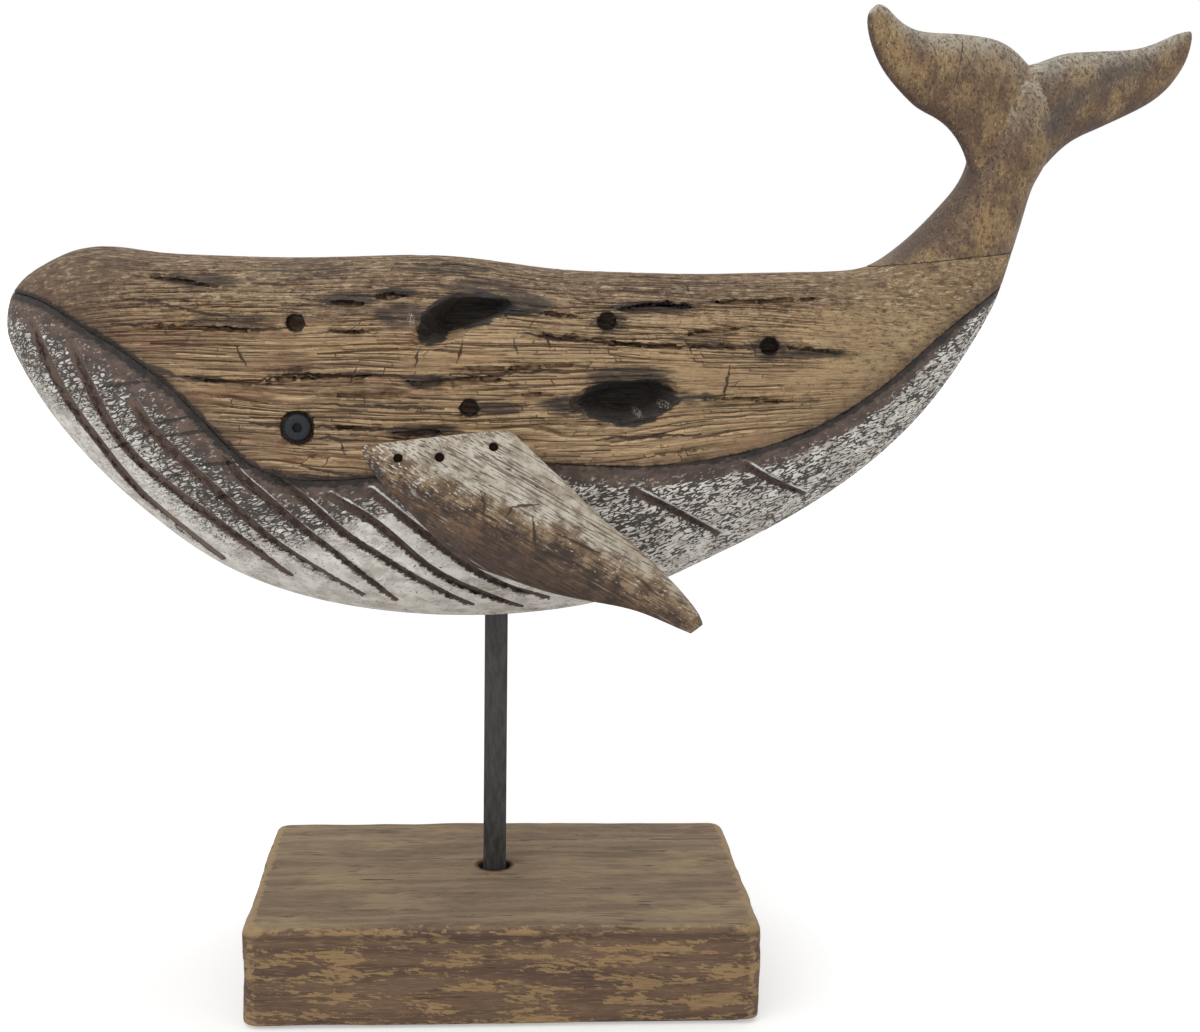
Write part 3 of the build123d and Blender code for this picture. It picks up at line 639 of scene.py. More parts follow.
# %% [markdown]
# ## Flecks and single cracks
# Two more effects serve several pieces: small flecks of worn paint or dirt, and single cracks
# at places that the real piece shows. A crack is a thin stroke between two points of
# one view, widest in the middle. It is thinner than the faces of the skin, so it isn't cut
# into them. Each vertex keeps how far it lies above the nearest crack instead. That number
# runs evenly through zero across a face, so the shader can draw a line that is much finer
# than the mesh.

# %% Measure cracks on the vertices
crack_end_share = 0.15
crack_swell = 1.4


def store_cracks(piece, name, width, marks):
    """Keeps where each vertex lies beside the nearest crack, for marks of x, z, x, z in millimetres."""
    spots = side_of(piece)
    near = np.full(len(spots), far_off)
    above, half = np.zeros(len(spots)), np.zeros(len(spots))
    for a, b, c, d in marks:
        away, run = spots - (a, b), np.array((c - a, d - b), float)
        share = np.clip(away @ run / (run @ run), 0, 1)
        gap = np.linalg.norm(away - share[:, None] * run, axis=1)
        closer = gap < near
        near[closer] = gap[closer]
        above[closer] = ((run[0] * away[:, 1] - run[1] * away[:, 0]) / np.linalg.norm(run))[closer]
        half[closer] = (width * (crack_end_share + crack_swell * share * (1 - share)))[closer]
    for label, values in (("above", above), ("near", near), ("half", half)):
        store(piece, name + "_" + label, values)
    print(piece.name, "has", len(marks), name, "marks")


# %% The flecks and the crack
fleck_softness = 0.045
crack_core_share = 0.45
crack_end_from, crack_end_to = 1.2, 1.7


def lay_flecks(bench, sockets):
    unit = bench.vector("DIVIDE", sockets["Place"], sockets["Size"])
    cloud = bench.noise(unit, (1, 1, 1), detail=2.5, rough=0.62)
    full = bench.plus(sockets["Level"], fleck_softness)
    return {"Mask": bench.step(cloud, sockets["Level"], full)}


def lay_crack(bench, sockets):
    offset = bench.sum("ABSOLUTE", bench.plus(sockets["Above"], sockets["Wobble"]))
    core = bench.times(sockets["Half"], crack_core_share)
    line = bench.step(offset, core, sockets["Half"], 1, 0)
    beside = bench.step(sockets["Near"], crack_end_from, crack_end_to, 1, 0)
    return {"Mask": bench.times(line, beside)}


fleck_field = effect(
    "flecks",
    [("Place", vector, None), ("Size", vector, None), ("Level", number, 0.5)],
    [("Mask", number)],
    lay_flecks,
)
crack_line = effect(
    "crack_line",
    [(label, number, 0) for label in ("Above", "Near", "Half", "Wobble")],
    [("Mask", number)],
    lay_crack,
)

# %% [markdown]
# ## The back
# The back is the showpiece: golden timber with brown cracks, greyer along the top, smooth
# and darker at the nose, and smooth again towards the tail. Two hollows and several slots
# were burnt, and their soot fades into the wood along the grain. The courses have to run
# round the back evenly, on its sides and on its top, so the way round is an angle.

# %% The back
grain_middle_z = 212
grain_radius = 50
rough_nose_x, rough_tail_x = (-158, -115), (85, 125)


def around_back(bench, place):
    """The way round the back's section in millimetres."""
    out = bench.less(bench.axis(place, 1), whale_middle_y)
    up = bench.less(bench.axis(place, 2), grain_middle_z)
    return bench.times(bench.sum("ARCTAN2", out, up), grain_radius)


back = skin_of("whale_back", "timber_back", 0.56, squeeze=0.4)
spots = places_of(back)
side = spots[:, [0, 2]]
store(back, "over_seam", over(seam_route, side))

upper_hollow = [
    (-28.4, 225.9), (-27.6, 230.9), (-23.4, 235.6), (-16.1, 238.2), (-8.7, 238.3), (-1.4, 237.3),
    (2.1, 235), (9.6, 233.2), (5.9, 230.8), (-2.4, 231.4), (-6.9, 229.1), (-13.9, 227.2),
    (-18.3, 226.9), (-21.2, 222.7), (-25.2, 221.7), (-27.6, 223),
]
lower_hollow = [
    (25.5, 207.8), (30.9, 209.6), (45.9, 210.4), (52, 208.2), (56.5, 204.2), (50.6, 201.3),
    (47.4, 198.6), (41.4, 196.6), (34.6, 197.4), (26.4, 199.6), (24, 203),
]
lower_haze = [(12.5, 203.5), (16.4, 205.6), (27, 206.4), (27, 198.4), (18.6, 198.6)]
soot_fade = 2.4
soot_on_wall = 0.72
near_side_reach, near_side_fade = 10, 12
near_side = np.clip((whale_middle_y + near_side_reach - spots[:, 1]) / near_side_fade, 0, 1)
char = np.full(len(spots), -1.0)
thin_tip = np.interp(side[:, 0], (-6, 6), (1.0, 0.5))
for outline, strength in ((upper_hollow, thin_tip), (lower_hollow, 1), (lower_haze, 0.5)):
    burnt = np.clip(soot_on_wall + within(outline, side) / soot_fade, 0, 1)
    char = np.maximum(char, burnt * strength * near_side)
store(back, "char", char)

smudges = [
    (-34, 231, 9, 4, 0.8), (-20, 246, 15, 2.2, 0.6), (-66, 245, 14, 3.2, 0.6), (-100, 241, 13, 2.4, 0.7),
    (-51, 236, 8, 2, 1), (-36.5, 238.5, 7, 1.4, 0.9), (-26.5, 210.3, 7, 1.6, 1), (47, 234.5, 15, 2, 0.9),
    (-27.5, 195, 11, 2, 0.9), (-3, 202, 8, 2, 0.9), (86, 221.5, 6, 4.2, 0.8), (100, 219.6, 13, 1.6, 0.9),
    (-88, 228.5, 16, 2, 0.6), (39, 212, 15, 3.8, 0.9), (20, 203, 9, 3.4, 0.9), (-60, 232, 14, 4.5, 0.4),
    (70, 240, 26, 3, 0.4), (60, 205, 12, 2.5, 0.6), (-70, 219, 9, 2, 0.35), (3, 235, 11, 3, 1),
    (-7, 240.5, 12, 2.6, 0.7), (33.5, 229.5, 6, 3.4, 0.7), (-127, 247, 12, 3, 0.4), (62, 224, 10, 1.4, 0.6),
]
smudge_reach, smudge_fade = 1.5, 0.8
smoke = np.zeros(len(spots))
for x, z, half_x, half_z, strength in smudges:
    away = np.hypot((side[:, 0] - x) / half_x, (side[:, 1] - z) / half_z)
    smoke = np.maximum(smoke, strength * np.clip((smudge_reach - away) / smudge_fade, 0, 1) * near_side)
store(back, "smoke", smoke)

eye_share, eye_radius = (0.296, 0.553), 5.2
old_hole_shares = [(0.293, 0.814), (0.588, 0.827), (0.457, 0.606), (0.746, 0.766)]
old_hole_radius = 2.8
round_gap = np.full(len(spots), far_off)
for share, radius in [(eye_share, eye_radius)] + [(share, old_hole_radius) for share in old_hole_shares]:
    spot = (nose_x + share[0] * body_length, body_bottom + share[1] * body_depth)
    round_gap = np.minimum(round_gap, np.linalg.norm(side - spot, axis=1) - radius)
store(back, "round_gap", round_gap)


def back_depth(bench, place, layer):
    along, around = bench.axis(place, 0), around_back(bench, place)
    level, rise, crack, _ = courses(bench, along, around, *large_course)
    rough = bench.times(
        bench.step(along, *rough_nose_x, 0.12, 1),
        bench.step(along, *rough_tail_x, 1, 0.15),
        bench.step(layer("over_seam"), 0.5, 4),
        bench.step(bench.axis(place, 2), 234, 244, 1, 0.55),
    )
    return bench.times(bench.weigh((level, 0.55), (bench.less(1, rise), 0.3), (crack, 0.4)), rough)


carve(back, "weathering", back_depth)
store_sunk(back)
most_triangles = 196000
thin_out(back, most_triangles)

# %% Cracks of the back that stand at known places
store_cracks(back, "cross", 1.3, [
    (-86.2, 219.1, -84, 215.7), (-48.8, 213.5, -49.5, 210.7), (-28.6, 219.5, -29.2, 216),
    (-14.7, 221.9, -15.9, 217.4), (12.7, 224.1, 13.3, 221.9), (2.2, 222.4, 2.8, 220.5),
    (72.6, 214.9, 70.6, 206.1), (59.4, 241.2, 60.4, 238.7), (79.8, 223, 80.9, 219.8),
    (58.2, 223, 59.5, 220.8), (-52.7, 189.9, -52.1, 187.6),
])
store_cracks(back, "long", 1.5, [
    (-81.1, 196.4, -72.3, 195.5), (-61.6, 195.6, -38.1, 194.8), (-95.1, 226, -70.1, 226.3),
    (-72.1, 212, -34.3, 212.1), (-34.3, 212.1, -12.3, 211.4), (-59.5, 225.4, -43.1, 225.6),
    (-57.7, 202.6, -21.6, 201.7), (-61.6, 192, -47, 191.2), (-121.6, 235, -87.6, 229.2),
    (-125.8, 226.8, -112.5, 226.7), (4.4, 225.6, 29.3, 223), (29.3, 223, 55, 222),
    (55, 222, 79.9, 221), (56.3, 205.4, 72.5, 206.2), (5.9, 232.6, 16.4, 232.1),
    (-62, 181.4, -46.4, 179.9), (-17.8, 212.3, 16.6, 213.9), (-65.7, 235.7, -51.6, 234),
    (29.8, 192.2, 62.1, 193.4),
])
store_cracks(back, "branch", 3.4, [(-120, 214.6, -104.1, 210.6), (-106, 210.9, -88, 209.5)])
store_cracks(back, "ash", 1, [
    (-14.6, 224.6, -13.4, 224.3), (-31.3, 230.8, -30.9, 229), (42, 200.6, 43.1, 199.7),
    (50.1, 203.1, 51.8, 202.9),
])

# %% The finish of the back
f = Finish("burnt_timber")
x, z = f.axis(f.place, 0), f.axis(f.place, 2)
timber = f.use(broken_timber, Along=x, Around=around_back(f, f.place))
rough_zone = f.times(f.step(x, *rough_nose_x, 0.25, 1), f.step(x, *rough_tail_x, 1, 0.2))
patch = f.cloud((45, 14, 14))
f.colour = f.tones(patch, 0.36, 0.62, (130, 101, 76), (172, 141, 102))
tint = f.cloud((24, 8, 8), detail=3.5, rough=0.6)
f.stain(tint, 0.48, 0.6, (122, 82, 60), 0.85)
f.stain(tint, 0.46, 0.36, (166, 143, 104), 0.6)
f.stain(timber["Streak"], 0.62, 0.38, (108, 86, 68), 0.5)
f.coat(f.times(f.step(x, -50, 0), f.step(z, 240, 230)), (206, 174, 130), 0.55)
f.coat(f.times(f.step(timber["Level"], 0.45, 0.15), rough_zone), (200, 167, 124), 0.65)
f.coat(f.times(f.step(timber["Level"], 0.55, 0.85), rough_zone), (110, 82, 59), 0.65)
f.stain(timber["Thread"], 0.48, 0.34, (108, 72, 47), 0.5)
f.stain(timber["Thread"], 0.56, 0.7, (208, 179, 138), 0.4)
open_crack = f.step(f.cloud((30, 7, 7), detail=3), 0.37, 0.53, 0.25, 1)
# The upper edge of each course gets a painted highlight, as if it caught the light from above.
ridge = f.times(timber["Ridge"], rough_zone, open_crack, 0.85)
f.coat(ridge, (218, 188, 146))
smooth_wood = f.step(x, 92, 130)
f.coat(smooth_wood, (158, 136, 100), 0.5)
nose_cap = f.step(x, -112, -138)
f.coat(nose_cap, (108, 88, 71), 0.62)
grey_top = f.step(z, 227, 241, 0, f.step(x, 60, 110, 0.5, 0.15))
f.coat(grey_top, (114, 97, 80))
fibre = f.cloud((3.6, 2.2, 1.4), detail=4, rough=0.7, wander=0.4)
worn = f.most(smooth_wood, f.step(z, 222, 236, 0.25, 1))
f.coat(f.times(f.step(fibre, 0.49, 0.38), worn), (82, 61, 47), 0.75)
f.coat(f.times(f.step(fibre, 0.54, 0.62), worn), (196, 172, 134), 0.55)
crack = f.times(timber["Crack"], rough_zone, open_crack)
wander = f.swing(f.cloud((5, 5, 3)), 2.6)
drawn = f.most(f.cracks("long", wander), f.cracks("cross", wander))
f.coat(crack, (76, 46, 32), 0.85)
f.coat(drawn, (52, 35, 27), 0.9)
crack = f.most(crack, drawn)
# Recesses below the smoothed skin are darkened as painted shade, which also darkens the burnt slots.
f.stain(f.layer("sunk"), 0.3, 1.1, (82, 55, 40), 0.65)
# The walls of the eye seat and of the old nail holes get a dark rim of painted shade, and the holes' floors
# a lighter brown.
f.stain(f.layer("round_gap"), 0.45, 0, (58, 46, 38), 0.75)
f.stain(f.layer("round_gap"), -0.3, -0.8, (128, 106, 87), 0.85)
pits = f.flecks((1.6, 1.1, 0.9), f.step(z, 215, 235, 0.63, 0.6))
f.coat(f.times(pits, f.step(x, 80, 120, 0.5, 0.7)), (72, 53, 41))
chips = f.flecks((4.5, 2, 1.1), 0.6, f.aside(31))
f.coat(f.times(chips, f.step(z, 224, 238, 0.2, 0.7), f.step(x, -122, -108)), (206, 186, 152))
streaks = f.less(f.cloud((11, 1.6, 1.6), detail=4, rough=0.72), 0.5)
smoke = f.plus(f.layer("smoke"), f.times(streaks, 1.7))
f.stain(smoke, 0.2, 0.85, (60, 51, 46), 0.85)
soot = f.plus(f.layer("char"), f.times(streaks, 1.5))
soot_colour = f.tones(streaks, -0.05, 0.16, (27, 26, 27), (56, 51, 47))
f.stain(soot, 0.36, 0.66, soot_colour, 0.95)
ash = f.times(f.step(f.layer("ash_near"), 1.5, 0.7), f.flecks((0.5, 0.5, 0.4), 0.53))
f.coat(ash, (196, 186, 172))
# Where the back's lower edge rolls under into the seam it is darkened as painted shade, soft brown first and
# nearly black at the seam.
tatters = f.swing(f.cloud((3.6, 3.6, 3), detail=5, rough=0.75), 4)
near_seam = f.plus(f.layer("over_seam"), tatters)
f.stain(near_seam, 6, 0.5, (86, 63, 50), 0.6)
dark_from, dark_to = f.step(x, -70, 0, 1.9, 0.6), f.step(x, -70, 0, 0.9, -0.2)
f.stain(near_seam, dark_from, dark_to, (38, 32, 28), 0.9)
f.coat(f.cracks("branch", wander), (54, 48, 42), 0.85)
sunk_courses = f.times(timber["Level"], rough_zone)
height = f.weigh((timber["Thread"], 0.25), (ridge, 0.3), (crack, -0.55), (sunk_courses, -0.5))
back.data.materials.append(f.wear(0.82, height))

# %% [markdown]
# ## The belly
# The belly was painted brown, carved, and then brushed with whitewash. The whitewash broke
# into short strokes that rise a little to the tail, closest under the seam, and stayed whole
# further down. A band under the seam and the pleats themselves stayed brown. Each pleat has a
# painted highlight along its upper lip and a torn edge below it, so the distance to it is
# measured twice more from points a little to each side.

# %% The belly
belly = skin_of("whale_belly", "whitewashed_belly", 0.72, rounds=6)
side = side_of(belly)
store(belly, "under_seam", -over(seam_route, side))
pleat_half = 1.2
pleat_narrowing = 0.6
above_pleat = np.array((0.45, 0.45))
for name, shift in (("pleat_gap", 0), ("rim_gap", -1), ("torn_gap", 1)):
    nearest = np.full(len(side), far_off)
    for route in pleat_routes:
        gap, along = distance_to(route, side + shift * above_pleat)
        nearest = np.minimum(nearest, gap - pleat_half + pleat_narrowing * along)
    store(belly, name, nearest)
store_sunk(belly)
thin_out(belly, most_triangles)

# %% The finish of the belly
store_cracks(belly, "band", 1.5, [
    (-129.8, 206.7, -115.9, 208.8), (-111.5, 195.7, -102.6, 197.7), (-108.7, 191.5, -96.3, 193.6),
    (-98.7, 182.2, -86.6, 183.6), (-126.2, 186.9, -123.3, 188.2), (-117.6, 190.2, -114.4, 192.1),
    (-109, 177.3, -105.1, 179.3), (-94.4, 170.9, -87.4, 172.9),
])
f = Finish("broken_whitewash")
below = f.layer("under_seam")
x = f.axis(f.place, 0)
stroke_rise = 0.35
brushed_place = f.turn(f.place, stroke_rise)
torn = f.less(f.noise(brushed_place, (3.2, 3.2, 1.2), detail=2.5, rough=0.6), 0.5)
strokes = f.noise(brushed_place, (3.4, 3.4, 1.05), detail=1.4, rough=0.55, wander=0.25)
away = f.sum("ABSOLUTE", f.less(strokes, 0.5))
clean_from = f.plus(f.step(x, -90, -35, 46, 20), f.step(x, 10, 50, 0, 50))
clean_below = f.step(below, 4, clean_from)
thickness = f.step(clean_below, 0, 1, 0.06, -0.004)
cover = f.cloud((11, 11, 8))
thickness = f.plus(thickness, f.step(cover, 0.35, 0.65, -0.022, 0.022))
stroke_edge = (-0.008, 0.012, 1, 0)
strokes = f.times(f.step(f.less(away, thickness), *stroke_edge), f.step(x, -15, 15, 0.35, 1))
specks = f.flecks((1.5, 1.5, 0.7), f.step(clean_below, 0, 1, 0.63, 0.66), brushed_place)
on_head = f.step(x, 25, -5)
crackle_place = f.sway(brushed_place, (5, 5, 2.2), (1.8, 1.8, 1))
crackle = f.plate_edges(crackle_place, (4.4, 4.4, 1.35))
crackle_half = f.plus(f.step(clean_below, 0.2, 0.85, 0.1, -0.07), f.step(cover, 0.35, 0.65, -0.03, 0.03))
crackle = f.step(f.less(crackle, crackle_half), -0.03, 0.03, 1, 0)
dashes = f.noise(brushed_place, (3.4, 3.4, 1.3), detail=1.8, rough=0.6, wander=0.3)
dash_half = f.step(clean_below, 0.15, 0.9, 0.044, -0.01)
dashes = f.less(f.sum("ABSOLUTE", f.less(dashes, 0.5)), dash_half)
dashes = f.step(dashes, *stroke_edge)
bare = f.most(strokes, specks, f.times(crackle, on_head), f.times(dashes, on_head))
chalk = f.cloud((7, 7, 5), detail=4, rough=0.65)
white = f.tones(chalk, 0.34, 0.64, (196, 189, 179), (240, 236, 227))
brown_cloud = f.cloud((6, 6, 4), detail=3, rough=0.6)
brown = f.tones(brown_cloud, 0.35, 0.65, (72, 59, 52), (104, 86, 76))
stroke_brown = f.tones(brown_cloud, 0.35, 0.65, (36, 27, 22), (66, 52, 44))
f.colour = f.blend(f.times(bare, 0.95), white, stroke_brown)
band_edge = f.plus(below, f.times(torn, 7))
band_depth = f.less(f.step(x, -90, -30, 8.5, 6.4), f.step(x, 120, 160, 0, 3.8))
band = f.step(f.less(band_edge, band_depth), -0.5, 0.6, 1, 0)
f.coat(band, brown)
dabs = f.times(f.flecks((1.8, 1.8, 0.9), 0.6, brushed_place), f.step(below, 2.5, 5))
f.coat(f.times(dabs, band), (196, 190, 182), 0.75)
fray = f.less(f.cloud((1.3, 1.3, 1.3), rough=0.6), 0.5)
# Along the upper lip of each pleat lies a painted highlight.
rim = f.plus(f.layer("rim_gap"), f.times(fray, 0.8))
rim_on = f.step(chalk, 0.42, 0.54, 0.15, 0.95)
f.coat(f.times(f.step(rim, 0.3, 0), rim_on), (232, 230, 225))
torn_edge = f.plus(f.layer("torn_gap"), f.times(torn, 4))
f.stain(torn_edge, 0.1, -0.2, (76, 60, 53), 0.9)
wider = f.step(x, -110, -50, 0.8, 0.1)
pleat = f.less(f.plus(f.layer("pleat_gap"), f.times(fray, 0.6)), wider)
groove_brown = f.tones(x, -100, -60, (100, 82, 72), (84, 66, 58))
in_pleat = f.step(pleat, 0.1, -0.15)
f.coat(in_pleat, groove_brown)
drawn = f.cracks("band", f.times(fray, 1.2))
f.coat(drawn, (46, 35, 30), 0.9)
# The seam groove under the back is painted nearly black: partly its own charcoal colour, partly painted
# shade under the back's lip.
groove_width = f.most(f.step(x, -70, 10, 2.3, 0.6), f.step(x, 45, 85, 0.6, 2))
ragged_seam = f.plus(f.less(below, groove_width), f.times(torn, 4))
seam_colour = f.tones(brown_cloud, 0.4, 0.6, (24, 21, 19), (46, 39, 34))
f.stain(ragged_seam, 0.4, -0.2, seam_colour, 0.95)
# Recesses outside the pleats are darkened as painted shade.
f.coat(f.times(f.step(f.layer("sunk"), 0.3, 1.3), f.step(in_pleat, 0, 1, 0.3, 0)), (54, 44, 40))
height = f.weigh((f.most(bare, band, in_pleat), -0.35), (drawn, -0.5))
belly.data.materials.append(f.wear(0.72, height))

# %% [markdown]
# ## The tail
# The tail is smooth olive brown, covered with fine dents and small painted glints. Faces that look
# up and edges that stand proud get a pale painted highlight, and faces that look down and edges
# turned to the sides get painted shade. The front edge is dark, and the right fluke has a dark
# streak.

# %% The tail
tail = skin_of("tail", "carved_tail", 0.7)
store_sunk(tail)
dark_streak = np.array([(186, 297), (196, 307), (206, 313), (219, 318)], float)
store(tail, "streak_gap", distance_to(dark_streak, side_of(tail))[0])
store_cracks(tail, "fine", 0.9, [
    (151.6, 323.2, 150.2, 314.8), (150.2, 314.8, 148.8, 308.1), (133.4, 246.7, 157, 252.3),
])

f = Finish("sanded_olive_wood")
z = f.axis(f.place, 2)
tone = f.cloud((11, 11, 16), detail=4, rough=0.55)
f.colour = f.tones(tone, 0.36, 0.64, (102, 76, 55), (153, 125, 84))
fibre = f.cloud((1.9, 1.9, 3), detail=4, rough=0.7, wander=0.8)
f.stain(fibre, 0.49, 0.38, (80, 60, 47), 0.55)
f.stain(fibre, 0.54, 0.64, (172, 148, 108), 0.4)
proud = f.step(f.layer("sunk"), -0.2, -0.8)
normal = f.put("ShaderNodeNewGeometry").outputs["Normal"]
up = f.axis(normal, 2)
# Faces that look up near the top and edges that stand proud get a pale painted highlight.
highlight_and_wear = f.most(f.times(f.step(up, 0, 0.6), f.step(z, 285, 300)), proud)
f.coat(f.times(highlight_and_wear, f.step(fibre, 0.38, 0.6, 0.3, 0.85)), (182, 177, 164))
# Faces that look down are darkened as painted shade.
f.stain(up, -0.05, -0.7, (76, 56, 47), 0.7)
front = f.step(f.axis(normal, 0), -0.15, -0.7, 0, 0.75)
front = f.times(front, f.most(f.step(up, 0.6, 0.2), f.step(z, 300, 285)))
f.coat(front, (72, 56, 48))
# Edges turned to the sides, where the faces do not look up, are darkened as painted shade.
sideways = f.sum("ABSOLUTE", f.axis(normal, 1))
edge = f.times(f.step(sideways, 0.6, 0.15, 0, 0.75), f.step(up, 0.35, -0.05))
f.coat(edge, (74, 52, 42))
dark_edge = f.plus(f.layer("streak_gap"), f.swing(fibre, 12))
f.stain(dark_edge, 7, 0.5, (80, 72, 66), 0.7)
pits = f.flecks((0.9, 0.9, 1.4), 0.585)
f.coat(pits, (70, 52, 42), 0.7)
# Small painted glints, more of them on the lighter wood.
glints = f.flecks((0.7, 0.8, 1.5), 0.615, f.aside(13.7))
f.coat(f.times(glints, f.step(tone, 0.4, 0.6, 0.15, 0.6)), (200, 184, 156))
drawn = f.cracks("fine", f.swing(fibre, 1.4))
f.coat(drawn, (62, 46, 38), 0.85)
height = f.weigh((fibre, 0.3), (pits, -0.25))
tail.data.materials.append(f.wear(0.62, height))

# %% [markdown]
# ## The flippers
# Each flipper is one thick leaf of wood, with dark grain lines along it. Its upper half, which
# faces up, is painted pale grey as painted light, and its lower half, which faces down, is
# painted dark brown as painted shade, darker still far below the ridge. Between them the paint
# broke into white flecks, and short cracks turned the wood up.

# %% The flippers
ridge_points = [(-52, 193), (-41.7, 188.9), (-30.7, 181.7), (-15.3, 174.7), (0, 169), (16.2, 162.7)]
ridge_points += [(29.1, 155.4), (44.9, 146.7), (61.8, 134.5), (75, 124)]
ridge = np.array(ridge_points, float)
flipper_turn = -0.52
fin_cracks = [
    (-8.1, 176, -7.1, 173.5), (-7.1, 173.5, -7.4, 170.5), (0.1, 170.2, 1.7, 172.4), (1.7, 172.4, 8.6, 173.1),
    (8, 168.5, 8.7, 160.8), (-3, 166, -0.5, 162.9), (-8.7, 170.8, -3.3, 167.8), (10.2, 159, 21.2, 155.3),
    (21.2, 155.3, 29.1, 150.8), (16.5, 163.9, 28, 158.6), (41.7, 150.3, 46.4, 146.2),
]
f = Finish("weathered_leaf_wood")
turned = f.turn(f.place, flipper_turn)
x = f.axis(f.place, 0)
grain = f.noise(turned, (15, 1.2, 0.5), detail=3.5, rough=0.6, wander=0.15)
mottle = f.cloud((6, 6, 6), detail=4, rough=0.68)
edge = f.plus(f.layer("over_ridge"), f.swing(mottle, 16))
# The pale upper half is painted light, where the flipper faces up; the brown lower half is painted shade,
# darker still far below the ridge.
pale = f.tones(mottle, 0.34, 0.64, (156, 143, 124), (208, 200, 184))
pale = f.blend(f.step(x, 10, 65, 0, 0.5), pale, (146, 122, 94))
brown = f.tones(mottle, 0.36, 0.64, (62, 47, 39), (112, 87, 64))
deep = f.step(f.layer("over_ridge"), -5, -16, 0, 0.75)
brown = f.blend(deep, brown, (70, 54, 47))
tan = f.tones(mottle, 0.4, 0.6, (106, 84, 62), (152, 128, 98))
f.colour = f.tones(edge, -4, -0.5, brown, tan)
f.stain(edge, 1, 7, pale)
grain_dark = f.tones(edge, -4, 2, (54, 39, 31), (88, 72, 60))
f.stain(grain, 0.475, 0.42, grain_dark, 0.8)
f.stain(grain, 0.6, 0.75, (222, 216, 204), 0.4)
near_ridge = f.line(f.layer("over_ridge"), 1, 10)
fewer = f.step(x, -45, -5, 0.555, 0.64)
flecks = f.times(f.flecks((1.9, 1.9, 0.8), fewer, turned), near_ridge)
f.coat(flecks, (226, 221, 212), 0.85)
f.stain(x, -44, -50, (122, 94, 76), 0.8)
wander = f.swing(f.cloud((2, 2, 2)), 1.2)
drawn = f.most(f.cracks("fin", wander), f.flecks((6, 1, 0.55), 0.64, turned))
f.coat(drawn, (56, 42, 34), 0.9)
height = f.weigh((grain, 0.5), (drawn, -0.5))
f.wear(0.75, height)
for node, name in (("left_fin", "left_flipper"), ("right_fin", "right_flipper")):
    fin = skin_of(node, name, 0.55)
    store(fin, "over_ridge", over(ridge, side_of(fin)))
    store_cracks(fin, "fin", 1.1, fin_cracks)
    store_sunk(fin)
    fin.data.materials.append(f.material)

# %% [markdown]
# ## The block
# The block is a sawn piece of the same timber. Its top is worn smooth, with a few old cracks and
# one small cut, and is painted lighter than the sides, partly its own worn colour and partly
# painted light from above. Its sides are dark, with tan paint dragged over them by a dry brush,
# and its edges are rubbed. The foot of the bar gets a ring of painted shade. Its cracks run level
# along it, so they need no measured vertices and are drawn straight from the coordinates.

# %% The block
block = skin_of("base_block", "wooden_block", 0.85, squeeze=0.5)
bar_x, bar_y = -2.7, 6
block_top_z = 34.5


def block_depth(bench, place, layer):
    swell = bench.noise(place, (50, 22, 14))
    return bench.times(bench.step(swell, 0.35, 0.65), 0.5)


carve(block, "sawn_sides", block_depth)
store_sunk(block)

# %% The finish of the block
top_cracks = [
    (5.9, 29.7, 33), (-50.6, -36.4, -9), (54, 83.7, 32.8), (45.5, 61.6, 19.2),
    (43.9, 52.1, -32.5), (44.6, 50.6, -35.9),
]
crack_tip, crack_half = 2.5, 0.75
f = Finish("dry_brushed_wood")
x, y, z = (f.axis(f.place, index) for index in range(3))
timber = f.use(broken_timber, Along=x, Around=f.less(y, z))
top = f.step(z, block_top_z - 1.5, block_top_z - 0.5)
brush_rise = -0.14
brushed_place = f.turn(f.place, brush_rise)
f.colour = f.tones(timber["Streak"], 0.35, 0.65, (90, 68, 54), (120, 94, 72))
reach = f.cloud((20, 20, 3.4), detail=3)
bristles = f.noise(brushed_place, (4.2, 4.2, 1), detail=3, rough=0.7)
dry = f.step(f.weigh((reach, 0.62), (bristles, 0.5)), 0.575, 0.605)
f.coat(dry, (164, 133, 92), 0.8)
# The top is painted lighter than the sides: partly its own worn colour, partly painted light from above.
top_colour = f.tones(timber["Streak"], 0.35, 0.65, (122, 100, 78), (150, 129, 100))
top_patch = f.cloud((30, 14, 14), detail=3)
top_colour = f.blend(f.step(top_patch, 0.5, 0.7, 0, 0.6), top_colour, (172, 150, 112))
top_colour = f.blend(f.step(top_patch, 0.48, 0.3, 0, 0.5), top_colour, (104, 82, 66))
f.coat(top, top_colour)
f.stain(timber["Thread"], 0.43, 0.36, (82, 62, 50), 0.6)
f.stain(timber["Thread"], 0.56, 0.65, (176, 152, 116), 0.35)
few = f.times(timber["Crack"], f.step(f.cloud((16, 7, 7)), 0.56, 0.66))
f.coat(few, (64, 47, 37), 0.8)
wander = f.swing(timber["Thread"], 1.6)
wavy = f.plus(y, wander)
drawn = 0
for left, right, across in top_cracks:
    span = f.times(f.step(x, left, left + crack_tip), f.step(x, right, right - crack_tip))
    stroke = f.line(wavy, across, crack_half)
    drawn = f.most(drawn, f.times(stroke, span))
drawn = f.times(drawn, top)
f.coat(drawn, (48, 35, 28), 0.9)
highlight_and_wear = f.cloud((4, 4, 1.8), detail=4, rough=0.7)
proud = f.plus(f.layer("sunk"), f.swing(highlight_and_wear, -1))
f.stain(proud, -0.24, -0.34, (172, 144, 104), 0.7)
under_edge = f.times(f.line(z, block_top_z - 3.5, 1.6), f.step(y, -40, -48))
f.coat(under_edge, (70, 52, 42), 0.6)
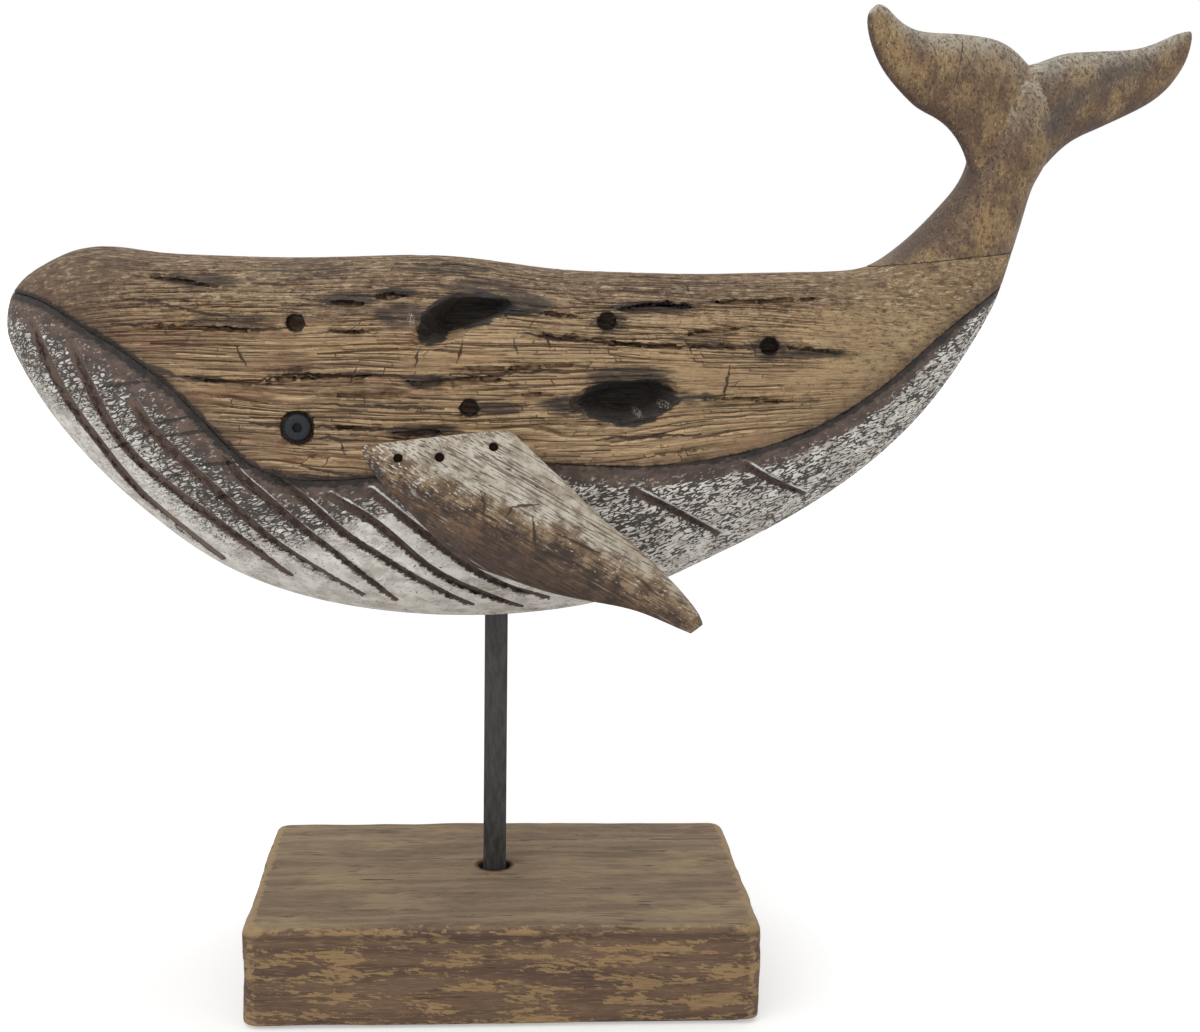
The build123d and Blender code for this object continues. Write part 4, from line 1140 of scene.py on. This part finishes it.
# A dark ring round the foot of the bar is painted shade.
from_bar = f.far_from((bar_x, bar_y, block_top_z))
f.stain(from_bar, 8.5, 6, (56, 43, 35), 0.8)
height = f.weigh((timber["Thread"], 0.3), (dry, 0.15), (drawn, -0.5))
block.data.materials.append(f.wear(0.8, height))

# %% [markdown]
# ## Steel, felt and dowels
# These solids already have the shape of the real things, so they stay as they are and only
# get their finish. The bar is blackened steel, the eyes are dark button screws, and the nails
# have rusted nearly black in their holes.

# %% The bar, the eyes and the nails
def dress(finish_material, *names):
    """Gives a finish to solids that stay."""
    for name in names:
        solid = solids[name]
        solid.data.materials.clear()
        solid.data.materials.append(finish_material)
    print(finish_material.name, "on", ", ".join(names))


def steel(name, dark, light, roughness, speck, shine=0.35):
    """A finish of steel with a faint speckle."""
    f = Finish(name, Specular_IOR_Level=shine)
    grit = f.cloud(speck, detail=4, rough=0.65)
    f.colour = f.tones(grit, 0.3, 0.7, dark, light)
    f.wear(f.step(grit, 0.3, 0.7, roughness - 0.06, roughness + 0.06), f.times(grit, 0.04))
    return f


bar = steel("blackened_bar", (44, 43, 42), (74, 72, 70), 0.42, (1.2, 1.2, 6))
dress(bar.material, "support_post")

eye_x, eye_z = -67.1, 195.2
eye = steel("dark_button", (34, 38, 41), (48, 53, 57), 0.5, (0.7, 0.7, 0.7), 0.2)
from_x = eye.less(eye.axis(eye.place, 0), eye_x)
from_z = eye.less(eye.axis(eye.place, 2), eye_z)
squares = eye.plus(eye.times(from_x, from_x), eye.times(from_z, from_z))
radius = eye.sum("SQRT", squares)
# The rim of the head and the socket in its middle are painted darker, as painted shade.
eye.stain(radius, 3.7, 4.3, (34, 36, 38))
eye.stain(radius, 1.75, 1.45, (18, 18, 18))
eye.feed(eye.shader.inputs["Base Color"], eye.colour)
dress(eye.material, "left_eye_bolt", "right_eye_bolt")

plain = steel("bright_fastener", (120, 120, 118), (160, 160, 158), 0.35, (0.8, 0.8, 0.8))
dress(plain.material, "base_screw", "base_washer")

nail = steel("rusted_nail", (22, 16, 14), (40, 28, 24), 0.8, (0.5, 0.5, 0.5), 0.05)
dress(nail.material, *[name for name in solids if "nail" in name])

# %% The felt and the dowels
f = Finish("grey_felt")
fibre = f.cloud((0.5, 0.5, 0.5), detail=4, rough=0.8, wander=1)
f.colour = f.tones(fibre, 0.3, 0.7, (38, 37, 36), (70, 68, 66))
dress(f.wear(0.95, f.times(fibre, 0.3)), "base_felt")

f = Finish("fresh_dowel")
timber = f.use(broken_timber, Along=f.axis(f.place, 2), Around=f.axis(f.place, 0))
f.colour = f.blend(timber["Streak"], (168, 138, 98), (208, 182, 142))
f.stain(timber["Thread"], 0.5, 0.35, (150, 118, 80), 0.5)
wood = f.wear(0.7, f.times(timber["Thread"], 0.1))
dress(wood, *[name for name in solids if "dowel" in name])
